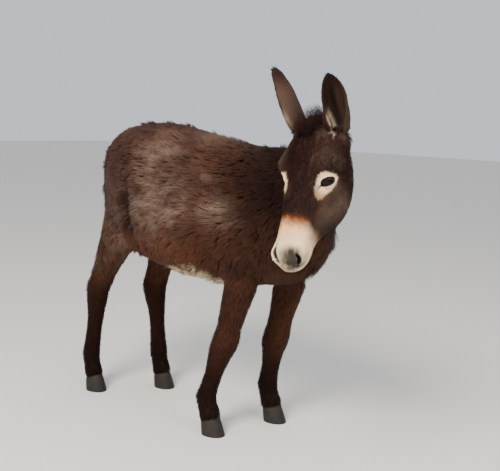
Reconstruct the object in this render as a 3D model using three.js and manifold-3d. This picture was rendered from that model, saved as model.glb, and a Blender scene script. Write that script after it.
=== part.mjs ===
// A young donkey that stands with its head turned to its right: a life-size still model, in millimetres.
// +X is forward along the trunk, +Y is the animal's left and +Z is up. The origin is on the floor, midway
// along and across the whole model. Every outline includes the coat, out to the tips of the hair.
import * as THREE from "three";
import { mergeVertices } from "three/addons/utils/BufferGeometryUtils.js";
import Module from "manifold-3d";

const wasm = await Module();
wasm.setup();

// ---------- Driving dimensions ----------
const GAP = 0.45; // how far a neighbour stays from each corner of a form
const FOOTPRINT_CENTRE = [67.59, -82.03]; // middle of the model's box, in the trunk's own X and Y
const HEAD_PLACE = [580, -229, 1072]; // the poll, in the trunk's frame
const HEAD_TURN = { yaw: -78.9, pitch: 61.7, roll: 10.3 }; // degrees, in the order yaw, pitch, roll
const EYE_RADIUS = 21;
const EYE_PLACE = [172, 68, -40]; // the left eye, in the head's frame
const EAR_WALL = 7;

// How finely each form is divided: points round a section, and rings along its length.
const AROUND = { body: 24, leg: 14, mane: 8, tail: 10, hoof: 16 };
const RINGS = { trunk: 30, head: 23, neck: 10, forearm: 11, cannon: 13, dock: 10, switch: 8 };
const EYE_SEGMENTS = [14, 9];
const EAR_SEGMENTS = { rings: 9, across: 9 };

// Coats and horn: colour, roughness.
const FINISH = {
  coat: ["#3f2f29", 0.92],
  dark: ["#241a18", 0.9],
  hoof: ["#3b342e", 0.55],
  eye: ["#1a1110", 0.1],
};

const V = (x, y, z) => new THREE.Vector3(x, y, z);

// ---------- Sections and tubes ----------
// The numbers of a table at a place between its rows: a cubic through them, at their own spacing.
function between(rows, at) {
  const last = rows.length - 1;
  let i = 0;
  while (i < last - 1 && at > rows[i + 1].at) i++;
  const [a, b] = [rows[i], rows[i + 1]];
  const gap = b.at - a.at;
  const t = (at - a.at) / gap;
  const slope = (j, key) => {
    const [low, high] = [rows[Math.max(j - 1, 0)], rows[Math.min(j + 1, last)]];
    return (high[key] - low[key]) / (high.at - low.at);
  };
  const found = { at };
  for (const key of Object.keys(a)) {
    if (key === "at") continue;
    const [start, end] = [slope(i, key) * gap, slope(i + 1, key) * gap];
    found[key] =
      (2 * t ** 3 - 3 * t ** 2 + 1) * a[key] +
      (t ** 3 - 2 * t ** 2 + t) * start +
      (3 * t ** 2 - 2 * t ** 3) * b[key] +
      (t ** 3 - t ** 2) * end;
  }
  return found;
}

// Evenly spaced places along a table.
function stations(rows, count) {
  const [low, high] = [rows[0].at, rows[rows.length - 1].at];
  return Array.from({ length: count + 1 }, (_, i) =>
    between(rows, low + ((high - low) * i) / count),
  );
}

const power = (x, n) => Math.sign(x) * Math.abs(x) ** n;

// One closed section: an oval through top and bottom that reaches wide to either side, and widens upwards by
// taper. A square of 2 is an ellipse, and more makes it boxier.
function section({ top, bottom, side, wide, taper = 0, square = 2 }, around) {
  const centre = top.clone().add(bottom).multiplyScalar(0.5);
  const up = top.clone().sub(centre);
  return Array.from({ length: around }, (_, k) => {
    const angle = (2 * Math.PI * k) / around;
    const rise = power(Math.cos(angle), 2 / square);
    const out = power(Math.sin(angle), 2 / square) * (1 + taper * rise);
    return centre.clone().addScaledVector(up, rise).addScaledVector(side, wide * out);
  });
}

const centreOf = (points) =>
  points.reduce((sum, p) => sum.addScaledVector(p, 1 / points.length), V(0, 0, 0));

// A closed surface over sections that have the same number of points.
function tube(sections) {
  const around = sections[0].length;
  const points = sections.flat();
  const faces = [];
  for (let i = 0; i + 1 < sections.length; i++)
    for (let k = 0; k < around; k++) {
      const next = (k + 1) % around;
      const [a, b] = [i * around + k, i * around + next];
      faces.push(a, b, a + around, b, b + around, a + around);
    }
  for (const [row, flip] of [
    [0, false],
    [sections.length - 1, true],
  ]) {
    const middle = points.length;
    points.push(centreOf(sections[row]));
    for (let k = 0; k < around; k++) {
      const [a, b] = [row * around + k, row * around + ((k + 1) % around)];
      faces.push(...(flip ? [a, b, middle] : [b, a, middle]));
    }
  }
  return shape(points, faces);
}

// A closed surface from points and faces, turned to face outwards.
function shape(points, faces) {
  let volume = 0;
  for (let i = 0; i < faces.length; i += 3) {
    const [a, b, c] = faces.slice(i, i + 3).map((j) => points[j]);
    volume += a.dot(b.clone().cross(c));
  }
  const geometry = new THREE.BufferGeometry();
  geometry.setFromPoints(points);
  geometry.setIndex(volume > 0 ? faces : faces.toReversed());
  return geometry;
}

// ---------- Joining and cutting ----------
function solid(geometry) {
  const plain = geometry.clone();
  plain.deleteAttribute("normal");
  plain.deleteAttribute("uv");
  const merged = mergeVertices(plain, 1e-3);
  const made = new wasm.Manifold(
    new wasm.Mesh({
      numProp: 3,
      vertProperties: new Float32Array(merged.attributes.position.array),
      triVerts: new Uint32Array(merged.index.array),
    }),
  );
  if (made.volume() > 0) return made;
  const index = merged.index.array;
  for (let i = 0; i < index.length; i += 3)
    [index[i], index[i + 1]] = [index[i + 1], index[i]];
  return solid(merged);
}

function surface(made) {
  const mesh = made.getMesh();
  const geometry = new THREE.BufferGeometry();
  const { numProp, numVert, vertProperties, triVerts } = mesh;
  const places = new Float32Array(numVert * 3);
  for (let i = 0; i < numVert; i++)
    places.set(vertProperties.subarray(i * numProp, i * numProp + 3), i * 3);
  geometry.setAttribute("position", new THREE.BufferAttribute(places, 3));
  geometry.setIndex(new THREE.BufferAttribute(new Uint32Array(triVerts), 1));
  return geometry;
}

// A surface moved outwards all over, to cut a neighbour that then keeps a gap. Each face counts alike in
// the way its corners move, however large it is.
function swollen(geometry) {
  const moved = geometry.clone();
  const { position } = moved.attributes;
  const index = moved.index.array;
  const corner = (i) => V(0, 0, 0).fromBufferAttribute(position, i);
  const ways = Array.from({ length: position.count }, () => V(0, 0, 0));
  for (let i = 0; i < index.length; i += 3) {
    const [a, b, c] = index.slice(i, i + 3);
    const face = corner(b).sub(corner(a)).cross(corner(c).sub(corner(a))).normalize();
    for (const j of [a, b, c]) ways[j].add(face);
  }
  ways.forEach((way, i) => position.setXYZ(i, ...corner(i).add(way.setLength(GAP)).toArray()));
  return moved;
}

// Raises sections near each muscle or bone, away from their centres.
function raised(sections, forms) {
  return sections.map((points) => {
    const centre = centreOf(points);
    return points.map((p) => {
      const out = p.clone().sub(centre).normalize();
      let rise = 0;
      for (const form of forms) {
        const [x, y, z] = form.at;
        const reach = form.reach;
        const away = Math.hypot(
          (p.x - x) / reach[0],
          (Math.abs(p.y) - y) / reach[1],
          (p.z - z) / reach[2],
        );
        rise += form.rise * Math.exp(-(away ** 2));
      }
      return p.clone().addScaledVector(out, rise);
    });
  });
}

// ---------- Trunk ----------
// at and lean are where a section's top is along the trunk and how far forward its bottom lies.
const TRUNK = [
  { at: -538, top: 905, bottom: 800, lean: 2, wide: 20, taper: 0.1, square: 2 },
  { at: -525, top: 942, bottom: 715, lean: 6, wide: 52, taper: 0.08, square: 2 },
  { at: -500, top: 972, bottom: 645, lean: 12, wide: 80, taper: 0.05, square: 2.1 },
  { at: -450, top: 1004, bottom: 585, lean: 14, wide: 115, taper: 0, square: 2.15 },
  { at: -400, top: 1022, bottom: 562, lean: 12, wide: 142, taper: 0, square: 2.15 },
  { at: -340, top: 1034, bottom: 545, lean: 6, wide: 168, taper: -0.03, square: 2.1 },
  { at: -250, top: 1043, bottom: 526, lean: 0, wide: 192, taper: -0.08, square: 2.1 },
  { at: -150, top: 1037, bottom: 506, lean: 0, wide: 206, taper: -0.14, square: 2.05 },
  { at: -50, top: 1020, bottom: 492, lean: 0, wide: 212, taper: -0.16, square: 2.05 },
  { at: 50, top: 1002, bottom: 490, lean: 0, wide: 204, taper: -0.18, square: 2.05 },
  { at: 140, top: 988, bottom: 500, lean: 5, wide: 184, taper: -0.2, square: 2 },
  { at: 205, top: 981, bottom: 514, lean: 30, wide: 164, taper: -0.2, square: 2 },
  { at: 245, top: 980, bottom: 526, lean: 100, wide: 150, taper: -0.15, square: 2 },
  { at: 275, top: 980, bottom: 572, lean: 170, wide: 134, taper: -0.12, square: 2 },
  { at: 300, top: 982, bottom: 655, lean: 190, wide: 114, taper: -0.1, square: 2 },
];

// Muscle and bone that stand out on the trunk, the same on both sides.
const TRUNK_FORMS = [
  { at: [-225, 150, 935], reach: [70, 60, 60], rise: 10 }, // point of the hip
  { at: [-400, 130, 830], reach: [120, 90, 130], rise: 10 }, // haunch
  { at: [270, 120, 800], reach: [100, 80, 150], rise: 16 }, // shoulder blade
  { at: [225, 115, 620], reach: [95, 80, 95], rise: 34 }, // back of the upper arm
  { at: [430, 110, 680], reach: [80, 70, 80], rise: 24 }, // point of the shoulder
];

const trunkSections = raised(
  stations(TRUNK, RINGS.trunk).map((s) =>
    section(
      { ...s, top: V(s.at, 0, s.top), bottom: V(s.at + s.lean, 0, s.bottom), side: V(0, 1, 0) },
      AROUND.body,
    ),
  ),
  TRUNK_FORMS,
);

// ---------- Head, in its own frame: +X to the muzzle, +Y left, +Z out of the forehead ----------
const HEAD = [
  { at: -44, top: -44, bottom: -92, lean: 84, wide: 28, taper: 0, square: 2 },
  { at: -34, top: -20, bottom: -126, lean: 88, wide: 54, taper: 0, square: 2 },
  { at: -15, top: -5, bottom: -158, lean: 88, wide: 74, taper: 0, square: 2.1 },
  { at: 15, top: 6, bottom: -188, lean: 84, wide: 84, taper: 0.03, square: 2.15 },
  { at: 50, top: 13, bottom: -212, lean: 76, wide: 90, taper: 0.08, square: 2.2 },
  { at: 90, top: 15, bottom: -226, lean: 66, wide: 92, taper: 0.14, square: 2.35 },
  { at: 130, top: 13, bottom: -231, lean: 58, wide: 91, taper: 0.18, square: 2.45 },
  { at: 170, top: 8, bottom: -227, lean: 50, wide: 83, taper: 0.18, square: 2.45 },
  { at: 210, top: 1, bottom: -209, lean: 42, wide: 72, taper: 0.16, square: 2.4 },
  { at: 255, top: -8, bottom: -178, lean: 30, wide: 59, taper: 0.12, square: 2.3 },
  { at: 300, top: -17, bottom: -149, lean: 18, wide: 52, taper: 0.12, square: 2.2 },
  { at: 345, top: -26, bottom: -133, lean: 8, wide: 49, taper: 0.15, square: 2.2 },
  { at: 374, top: -33, bottom: -128, lean: 2, wide: 50, taper: 0.22, square: 2.2 },
  { at: 398, top: -41, bottom: -122, lean: 0, wide: 46, taper: 0.26, square: 2.2 },
  { at: 416, top: -52, bottom: -111, lean: 0, wide: 37, taper: 0.26, square: 2.1 },
  { at: 427, top: -63, bottom: -102, lean: 0, wide: 24, taper: 0.15, square: 2 },
  { at: 431, top: -74, bottom: -92, lean: 0, wide: 10, taper: 0, square: 2 },
];

const HEAD_FORMS = [
  { at: [135, 82, -18], reach: [34, 26, 20], rise: 9 }, // brow over the eye
  { at: [165, 60, -125], reach: [60, 40, 55], rise: 10 }, // cheek muscle
  { at: [225, 58, -80], reach: [40, 20, 22], rise: 4 }, // crest of the cheekbone
  { at: [396, 44, -60], reach: [26, 20, 22], rise: 11 }, // flare of the nostril
  { at: [372, 0, -134], reach: [22, 30, 14], rise: 4 }, // chin
];

const headSections = raised(
  stations(HEAD, RINGS.head).map((s) =>
    section(
      { ...s, top: V(s.at, 0, s.top), bottom: V(s.at + s.lean, 0, s.bottom), side: V(0, 1, 0) },
      AROUND.body,
    ),
  ),
  HEAD_FORMS,
);

const headFrame = new THREE.Group();
headFrame.position.set(...HEAD_PLACE);
headFrame.rotation.set(
  THREE.MathUtils.degToRad(HEAD_TURN.roll),
  THREE.MathUtils.degToRad(HEAD_TURN.pitch),
  THREE.MathUtils.degToRad(HEAD_TURN.yaw),
  "ZYX",
);
headFrame.updateMatrix();

// ---------- Neck: between the trunk's last section and the head's first ----------
// at runs from the trunk to the head. wide is added to the straight way between their half widths.
const NECK = [
  { at: 0, wide: 0, taper: -0.1 },
  { at: 0.25, wide: -16, taper: -0.2 },
  { at: 0.5, wide: -18, taper: -0.2 },
  { at: 0.75, wide: -6, taper: -0.1 },
  { at: 1, wide: 0, taper: 0 },
];
const NECK_START = 0.004; // just clear of the trunk
const NECK_END = { at: 18, top: -12, bottom: -160, lean: 82, wide: 70 }; // a section inside the head
// The crest and the throat: how each line leaves the trunk and arrives at the head, in the trunk's frame,
// and the length of its two handles.
const NECK_LINES = {
  crest: { leave: [1, 0, -0.04], arrive: [0.25, -0.62, 0.75], handles: [130, 120] },
  throat: { leave: [0.1, -0.1, 0.99], arrive: [0.3, -0.55, 0.78], handles: [80, 80] },
};

const place = (p) => p.clone().applyMatrix4(headFrame.matrix);
const direction = (p) => p.clone().transformDirection(headFrame.matrix);

function neckLine(from, to, { leave, arrive, handles }) {
  return new THREE.CubicBezierCurve3(
    from,
    from.clone().addScaledVector(V(...leave), handles[0]),
    to.clone().addScaledVector(V(...arrive), -handles[1]),
    to,
  );
}

function neckSections() {
  const start = TRUNK[TRUNK.length - 1];
  const end = NECK_END;
  const crest = neckLine(V(start.at, 0, start.top), place(V(end.at, 0, end.top)), NECK_LINES.crest);
  const throat = neckLine(
    V(start.at + start.lean, 0, start.bottom),
    place(V(end.at + end.lean, 0, end.bottom)),
    NECK_LINES.throat,
  );
  const [outward, headOutward] = [V(0, 1, 0), direction(V(0, 1, 0))];
  return Array.from({ length: RINGS.neck + 1 }, (_, i) => {
    const at = THREE.MathUtils.lerp(NECK_START, 1, i / RINGS.neck);
    const form = between(NECK, at);
    return section(
      {
        top: crest.getPoint(at),
        bottom: throat.getPoint(at),
        side: outward.clone().lerp(headOutward, at * at * (3 - 2 * at)).normalize(),
        wide: THREE.MathUtils.lerp(start.wide, end.wide, at) + form.wide,
        taper: form.taper,
        square: 2,
      },
      AROUND.body,
    );
  });
}

// ---------- Legs ----------
// Joints from the top: inside the body, elbow or stifle, knee or hock, fetlock, coronet and sole.
const LEGS = {
  fore_left: {
    form: "fore",
    joints: [
      [265, 45, 700],
      [286, 90, 505],
      [226, 98, 305],
      [198, 100, 132],
      [218, 100, 58],
      [232, 100, 0],
    ],
  },
  fore_right: {
    form: "fore",
    joints: [
      [235, -45, 700],
      [243, -122, 510],
      [176, -116, 312],
      [128, -146, 128],
      [150, -149, 58],
      [164, -150, 0],
    ],
  },
  hind_left: {
    form: "hind",
    joints: [
      [-385, 45, 800],
      [-330, 108, 610],
      [-374, 84, 388],
      [-346, 84, 140],
      [-328, 84, 60],
      [-315, 84, 0],
    ],
  },
  hind_right: {
    form: "hind",
    joints: [
      [-380, -45, 800],
      [-362, -116, 610],
      [-474, -118, 396],
      [-502, -128, 140],
      [-484, -130, 60],
      [-471, -131, 0],
    ],
  },
};

// at counts the joints passed on the way down. front and back are measured from the line of the joints, and
// tilt is how steeply the section rises towards the front.
const LEG_FORMS = {
  fore: [
    { at: 0, front: 78, back: 84, wide: 40, tilt: 0, square: 2 },
    { at: 0.5, front: 74, back: 80, wide: 48, tilt: 0, square: 2 },
    { at: 1, front: 62, back: 66, wide: 47, tilt: 0, square: 2.1 },
    { at: 1.4, front: 52, back: 54, wide: 42, tilt: 0, square: 2.2 },
    { at: 1.75, front: 46, back: 47, wide: 39, tilt: 0, square: 2.3 },
    { at: 1.95, front: 52, back: 51, wide: 43, tilt: 0, square: 2.4 },
    { at: 2.12, front: 49, back: 52, wide: 42, tilt: 0, square: 2.4 },
    { at: 2.35, front: 38, back: 42, wide: 35, tilt: 0, square: 2.2 },
    { at: 2.7, front: 33, back: 37, wide: 30, tilt: 0, square: 2.1 },
    { at: 3, front: 37, back: 44, wide: 35, tilt: 0.15, square: 2.1 },
    { at: 3.4, front: 31, back: 36, wide: 31, tilt: 0.39, square: 2.1 },
    { at: 4, front: 36, back: 37, wide: 33, tilt: 0.33, square: 2.1 },
  ],
  hind: [
    { at: 0, front: 100, back: 80, wide: 48, tilt: 0, square: 2 },
    { at: 0.5, front: 122, back: 98, wide: 60, tilt: 0, square: 2 },
    { at: 1, front: 96, back: 88, wide: 60, tilt: 0, square: 2.1 },
    { at: 1.35, front: 70, back: 76, wide: 50, tilt: 0, square: 2.2 },
    { at: 1.7, front: 49, back: 62, wide: 40, tilt: 0, square: 2.2 },
    { at: 1.93, front: 47, back: 66, wide: 37, tilt: -0.07, square: 2.3 },
    { at: 2.1, front: 45, back: 57, wide: 36, tilt: 0, square: 2.4 },
    { at: 2.35, front: 36, back: 40, wide: 30, tilt: 0, square: 2.2 },
    { at: 2.7, front: 32, back: 36, wide: 28, tilt: 0, square: 2.1 },
    { at: 3, front: 36, back: 44, wide: 33, tilt: 0.15, square: 2.1 },
    { at: 3.4, front: 30, back: 36, wide: 30, tilt: 0.39, square: 2.1 },
    { at: 4, front: 35, back: 36, wide: 32, tilt: 0.33, square: 2.1 },
  ],
};
const LEG_PARTED = 1.8; // the cut just above the knee or hock, counted in joints
const LEG_GAP = 0.004; // the width of that cut, counted in joints
const CORONET = 4; // its place among the joints

// The line of a leg's joints, at a place counted in joints.
function along(joints, at) {
  const i = Math.min(Math.floor(at), joints.length - 2);
  return V(...joints[i]).lerp(V(...joints[i + 1]), at - i);
}

function legSection(leg, at, { front, back, wide, tilt, taper, square }, around) {
  const middle = along(leg.joints, at);
  return section(
    {
      top: middle.clone().add(V(front, 0, front * tilt)),
      bottom: middle.clone().add(V(-back, 0, -back * tilt)),
      side: V(0, 1, 0),
      wide,
      taper,
      square,
    },
    around,
  );
}

function legSections(leg, from, to, rings) {
  return Array.from({ length: rings + 1 }, (_, i) => {
    const at = THREE.MathUtils.lerp(from, to, i / rings);
    return legSection(leg, at, between(LEG_FORMS[leg.form], at), AROUND.leg);
  });
}

// A hoof widens from the coronet, at 0, to its flat sole, at 1.
const HOOF = [
  { at: 0.012, front: 33, back: 33, wide: 30, tilt: 0.33 },
  { at: 0.5, front: 41, back: 36, wide: 34, tilt: 0.15 },
  { at: 0.9, front: 47, back: 38, wide: 37, tilt: 0.02 },
  { at: 1, front: 48, back: 38, wide: 37, tilt: 0 },
];

const HOOF_SECTION = { taper: -0.12, square: 2.1 };

const hoofSections = (leg) =>
  HOOF.map((form) =>
    legSection(leg, CORONET + form.at, { ...form, ...HOOF_SECTION }, AROUND.hoof),
  );

// ---------- Ears: leaf-shaped cups, in the head's frame ----------
// reach is the outer radius and half is how far round each side of the back the wall goes, in degrees.
const EAR_FORM = [
  { at: 0, reach: 24, half: 165 },
  { at: 0.2, reach: 29, half: 150 },
  { at: 0.4, reach: 35, half: 122 },
  { at: 0.6, reach: 35, half: 102 },
  { at: 0.8, reach: 27, half: 90 },
  { at: 0.93, reach: 16, half: 86 },
  { at: 1, reach: 8, half: 80 },
];
const EAR_DEPTH = 0.72; // a cup as deep as half its width has 1
const EAR_HOLLOW = 0.4; // the least inner radius, as a share of the outer one
// bow is how far the middle of an ear leaves the straight line, and opening is where its hollow faces.
const EARS = {
  left: {
    base: [22, 67, -44],
    tip: [-45, 131, 150],
    bow: [-18, 8, 0],
    opening: [0.88, 0.44, 0.19],
  },
  right: {
    base: [22, -52, -38],
    tip: [-117, -106, 103],
    bow: [-4, 4, 18],
    opening: [-0.05, -0.95, 0.16],
  },
};

function earShape({ base, tip, bow, opening }) {
  const [from, to] = [V(...base), V(...tip)];
  const middle = from.clone().lerp(to, 0.5).add(V(...bow));
  const line = new THREE.QuadraticBezierCurve3(from, middle, to);
  const axis = to.clone().sub(from).normalize();
  const back = V(...opening).negate().addScaledVector(axis, V(...opening).dot(axis)).normalize();
  const side = axis.clone().cross(back);
  const { rings, across } = EAR_SEGMENTS;
  const points = [];
  for (const inner of [false, true])
    for (let i = 0; i <= rings; i++) {
      const { reach, half } = between(EAR_FORM, i / rings);
      const radius = inner ? Math.max(reach - EAR_WALL, EAR_HOLLOW * reach) : reach;
      for (let k = 0; k <= across; k++) {
        const angle = THREE.MathUtils.degToRad(half) * ((2 * k) / across - 1);
        points.push(
          line
            .getPoint(i / rings)
            .addScaledVector(side, radius * Math.sin(angle))
            .addScaledVector(back, EAR_DEPTH * radius * Math.cos(angle)),
        );
      }
    }
  return shape(points, wallFaces(rings, across));
}

// Faces of a wall: an outer and an inner sheet of points, joined along all four edges.
function wallFaces(rows, columns) {
  const sheet = (rows + 1) * (columns + 1);
  const at = (inner, i, k) => (inner ? sheet : 0) + i * (columns + 1) + k;
  const faces = [];
  const quad = (a, b, c, d) => faces.push(a, b, c, a, c, d);
  for (let i = 0; i < rows; i++)
    for (let k = 0; k < columns; k++) {
      quad(at(false, i, k), at(false, i, k + 1), at(false, i + 1, k + 1), at(false, i + 1, k));
      quad(at(true, i, k), at(true, i + 1, k), at(true, i + 1, k + 1), at(true, i, k + 1));
    }
  for (let i = 0; i < rows; i++) {
    quad(at(false, i, 0), at(false, i + 1, 0), at(true, i + 1, 0), at(true, i, 0));
    quad(at(true, i, columns), at(true, i + 1, columns), at(false, i + 1, columns), at(false, i, columns));
  }
  for (let k = 0; k < columns; k++) {
    quad(at(true, 0, k), at(true, 0, k + 1), at(false, 0, k + 1), at(false, 0, k));
    quad(at(false, rows, k), at(false, rows, k + 1), at(true, rows, k + 1), at(true, rows, k));
  }
  return faces;
}

// ---------- Mane and forelock ----------
// The mane is a short upright crest along the neck, from the withers, at 0, to the head, at 1.
const MANE = [
  { at: 0, tall: 3, deep: 30, wide: 12 },
  { at: 0.2, tall: 14, deep: 25, wide: 17 },
  { at: 0.5, tall: 22, deep: 25, wide: 19 },
  { at: 0.85, tall: 24, deep: 25, wide: 20 },
  { at: 1, tall: 24, deep: 25, wide: 22 },
];
// The forelock is a tuft between the ears, along the head's own X.
const FORELOCK = [
  { at: -36, tall: 0, deep: 30, wide: 18 },
  { at: -14, tall: 24, deep: 20, wide: 24 },
  { at: 12, tall: 26, deep: 20, wide: 26 },
  { at: 36, tall: 24, deep: 20, wide: 26 },
  { at: 60, tall: 6, deep: 20, wide: 16 },
];

// ---------- Tail: a dock that hangs from the rump, and its tuft ----------
// at counts the rows, back is the place along the trunk and z is the height.
const TAIL = [
  { at: 0, back: -500, z: 935, thick: 22 },
  { at: 1, back: -530, z: 912, thick: 25 },
  { at: 2, back: -552, z: 862, thick: 25 },
  { at: 3, back: -560, z: 790, thick: 23 },
  { at: 4, back: -560, z: 710, thick: 21 },
  { at: 5, back: -558, z: 630, thick: 20 },
  { at: 6, back: -556, z: 565, thick: 25 },
  { at: 7, back: -554, z: 495, thick: 29 },
  { at: 8, back: -552, z: 425, thick: 22 },
  { at: 9, back: -550, z: 380, thick: 5 },
];
const DOCK_END = 5; // the row where the tuft begins
const TAIL_GAP = 0.01; // between the dock and the tuft, counted in rows

function tailSections(from, to, rings) {
  return Array.from({ length: rings + 1 }, (_, i) => {
    const { back, z, thick } = between(TAIL, THREE.MathUtils.lerp(from, to, i / rings));
    const middle = V(back, 0, z);
    return section(
      {
        top: middle.clone().add(V(thick, 0, 0)),
        bottom: middle.clone().add(V(-thick, 0, 0)),
        side: V(0, 1, 0),
        wide: thick,
      },
      AROUND.tail,
    );
  });
}

// ---------- The animal, put together ----------
const group = new THREE.Group();

function add(name, made, [colour, roughness]) {
  const material = new THREE.MeshStandardMaterial({ color: colour, roughness, metalness: 0 });
  const mesh = new THREE.Mesh(made instanceof THREE.BufferGeometry ? made : surface(made), material);
  mesh.name = name;
  group.add(mesh);
}

// What others leave of a form, without loose scraps.
function cut(form, ...others) {
  const left = others.reduce((made, other) => made.subtract(other), solid(form));
  return left.decompose().sort((a, b) => b.volume() - a.volume())[0];
}

const neck = neckSections();
const forms = {
  trunk: tube(trunkSections),
  neck: tube(neck),
  head: tube(headSections.map((points) => points.map(place))),
};
const clear = {};
for (const [name, form] of Object.entries(forms)) clear[name] = solid(swollen(form));

// A section of the mane over a ring of the neck.
function crest(ring, at) {
  const { tall, deep, wide } = between(MANE, at);
  const up = ring[0].clone().sub(ring[AROUND.body / 2]).normalize();
  const side = ring[AROUND.body / 4].clone().sub(ring[(3 * AROUND.body) / 4]).normalize();
  const [top, bottom] = [tall, -deep].map((rise) => ring[0].clone().addScaledVector(up, rise));
  return section({ top, bottom, side, wide }, AROUND.mane);
}

function tuft({ at, tall, deep, wide }) {
  const [top, bottom] = [V(at, 0, tall), V(at, 0, -deep)];
  return section({ top, bottom, side: V(0, 1, 0), wide }, AROUND.mane).map(place);
}

const mane = tube(neck.map((ring, i) => crest(ring, i / RINGS.neck)));
const forelock = tube(FORELOCK.map(tuft));
clear.forelock = solid(swollen(forelock));

function eyeball(way, radius) {
  const [x, y, z] = EYE_PLACE;
  const centre = place(V(x, way * y, z));
  return new THREE.SphereGeometry(radius, ...EYE_SEGMENTS).translate(...centre.toArray());
}
const SIDES = { left: 1, right: -1 };
const sockets = Object.values(SIDES).map((way) => solid(eyeball(way, EYE_RADIUS + GAP)));

add("trunk", forms.trunk, FINISH.coat);
add("neck", cut(forms.neck, clear.trunk, clear.head), FINISH.coat);
add("head", cut(forms.head, ...sockets), FINISH.coat);
add("mane", cut(mane, clear.trunk, clear.neck, clear.head, clear.forelock), FINISH.dark);
add("forelock", cut(forelock, clear.head, clear.neck), FINISH.dark);
for (const [name, way] of Object.entries(SIDES))
  add(`eye_${name}`, eyeball(way, EYE_RADIUS), FINISH.eye);

for (const [name, ear] of Object.entries(EARS)) {
  const form = earShape(ear).applyMatrix4(headFrame.matrix);
  add(`ear_${name}`, cut(form, clear.head, clear.neck, clear.forelock), FINISH.coat);
}

for (const [name, leg] of Object.entries(LEGS)) {
  const upper = tube(legSections(leg, 0, LEG_PARTED, RINGS.forearm));
  const lower = tube(legSections(leg, LEG_PARTED + LEG_GAP, CORONET, RINGS.cannon));
  const upperName = leg.form === "fore" ? "forearm" : "thigh";
  add(`${upperName}_${name}`, cut(upper, clear.trunk, clear.neck), FINISH.coat);
  add(`cannon_${name}`, lower, FINISH.dark);
  add(`hoof_${name}`, tube(hoofSections(leg)), FINISH.hoof);
}

const dock = tube(tailSections(0, DOCK_END, RINGS.dock));
add("tail", cut(dock, clear.trunk), FINISH.coat);
const switchEnd = TAIL[TAIL.length - 1].at;
add("tail_switch", tube(tailSections(DOCK_END + TAIL_GAP, switchEnd, RINGS.switch)), FINISH.dark);

group.position.set(-FOOTPRINT_CENTRE[0], -FOOTPRINT_CENTRE[1], 0);

export default group;
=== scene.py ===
"""The looks of a young woolly donkey, a life-size still model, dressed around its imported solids.

One skin replaces the flesh, and a coat of small solid tufts grows from it. The eyes and hooves are
pieces of their own. Lengths are in metres. +X is forward along the trunk, +Y is the animal's left and
+Z is up. The head has a frame of its own: +X to the muzzle, +Y to its left and +Z out of the forehead.
"""
import functools
import itertools
import math

import bmesh
import bpy
import numpy as np
from bpy.props import FloatProperty, FloatVectorProperty, IntProperty, PointerProperty
from mathutils import Euler, Matrix, Vector
from mathutils.bvhtree import BVHTree
from mathutils.kdtree import KDTree


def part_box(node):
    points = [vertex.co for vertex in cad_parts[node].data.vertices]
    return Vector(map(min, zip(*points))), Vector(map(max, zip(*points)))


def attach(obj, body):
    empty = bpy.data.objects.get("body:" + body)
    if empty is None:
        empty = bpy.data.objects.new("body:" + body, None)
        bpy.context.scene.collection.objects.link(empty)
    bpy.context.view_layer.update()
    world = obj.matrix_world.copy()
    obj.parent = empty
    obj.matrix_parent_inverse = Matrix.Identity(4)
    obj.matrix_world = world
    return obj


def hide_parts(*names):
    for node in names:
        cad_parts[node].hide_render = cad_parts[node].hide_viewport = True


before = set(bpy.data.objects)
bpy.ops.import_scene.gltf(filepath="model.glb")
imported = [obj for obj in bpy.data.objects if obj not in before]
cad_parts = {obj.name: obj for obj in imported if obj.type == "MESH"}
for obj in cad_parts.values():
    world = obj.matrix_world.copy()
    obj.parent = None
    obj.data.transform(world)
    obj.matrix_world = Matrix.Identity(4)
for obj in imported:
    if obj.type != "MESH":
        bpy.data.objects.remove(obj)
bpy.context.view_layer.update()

bl_info = {
    "name": "Young donkey",
    "version": (1, 0, 0),
    "blender": (4, 5, 0),
    "location": "3D View > Sidebar > Donkey",
    "description": "Skin, coat, eyes, hooves and stage of a life-size donkey",
    "category": "Object",
}

SIDES = {"left": 1, "right": -1}
LEGS = ("fore_left", "fore_right", "hind_left", "hind_right")
CENTRE_Y = sum(corner[1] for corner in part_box("trunk")) / 2

# ---------- The head's frame and its features, in that frame ----------
HEAD_PLACE = np.array([0.5124, -0.1470, 1.0720])  # the poll
HEAD_TURN = Euler([math.radians(degrees) for degrees in (10.3, 61.7, -78.9)])
HEAD_AXES = np.array(HEAD_TURN.to_matrix())

EYE_RADIUS = 0.0235
EYE_PLACES = {"left": (0.1690, 0.0672, -0.0500), "right": (0.1707, -0.0465, -0.0450)}
EYE_OUT = (0.20, 0.87, 0.45)  # where the left eye looks
EYE_SLIT = (-0.789, 0.614)  # from the inner corner to the outer one, on the eye's own face
EYE_MIDDLE = (0.0064, -0.0011)  # of the opening, from the eye's axis
EYE_HALF = 0.0246
EYE_UPPER = {"left": 0.0150, "right": 0.0084}
EYE_LOWER = 0.0066
EYE_ARCHES = (0.30, -0.25)  # how far each lid's arch leans to the inner corner, as a share of the half
# The grooves that lead away from the eye's corners, on its face: the inner one and the outer one.
EYE_CORNERS = (((0.0185, -0.0115), (0.0275, -0.0145)), ((-0.0116, 0.0125), (-0.0145, 0.0155)))
GROOVE_TAPER = 0.0010  # how much narrower a groove is at its far end
LID = 0.0018  # how thick the lids are
LID_CREASE = (0.0011, 0.0065, 0.0016)  # the upper lid's fold: its depth, and its place and width from the gap
SUNK = 0.004  # how far the skin lies under the eyeball's surface in the opening
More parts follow.
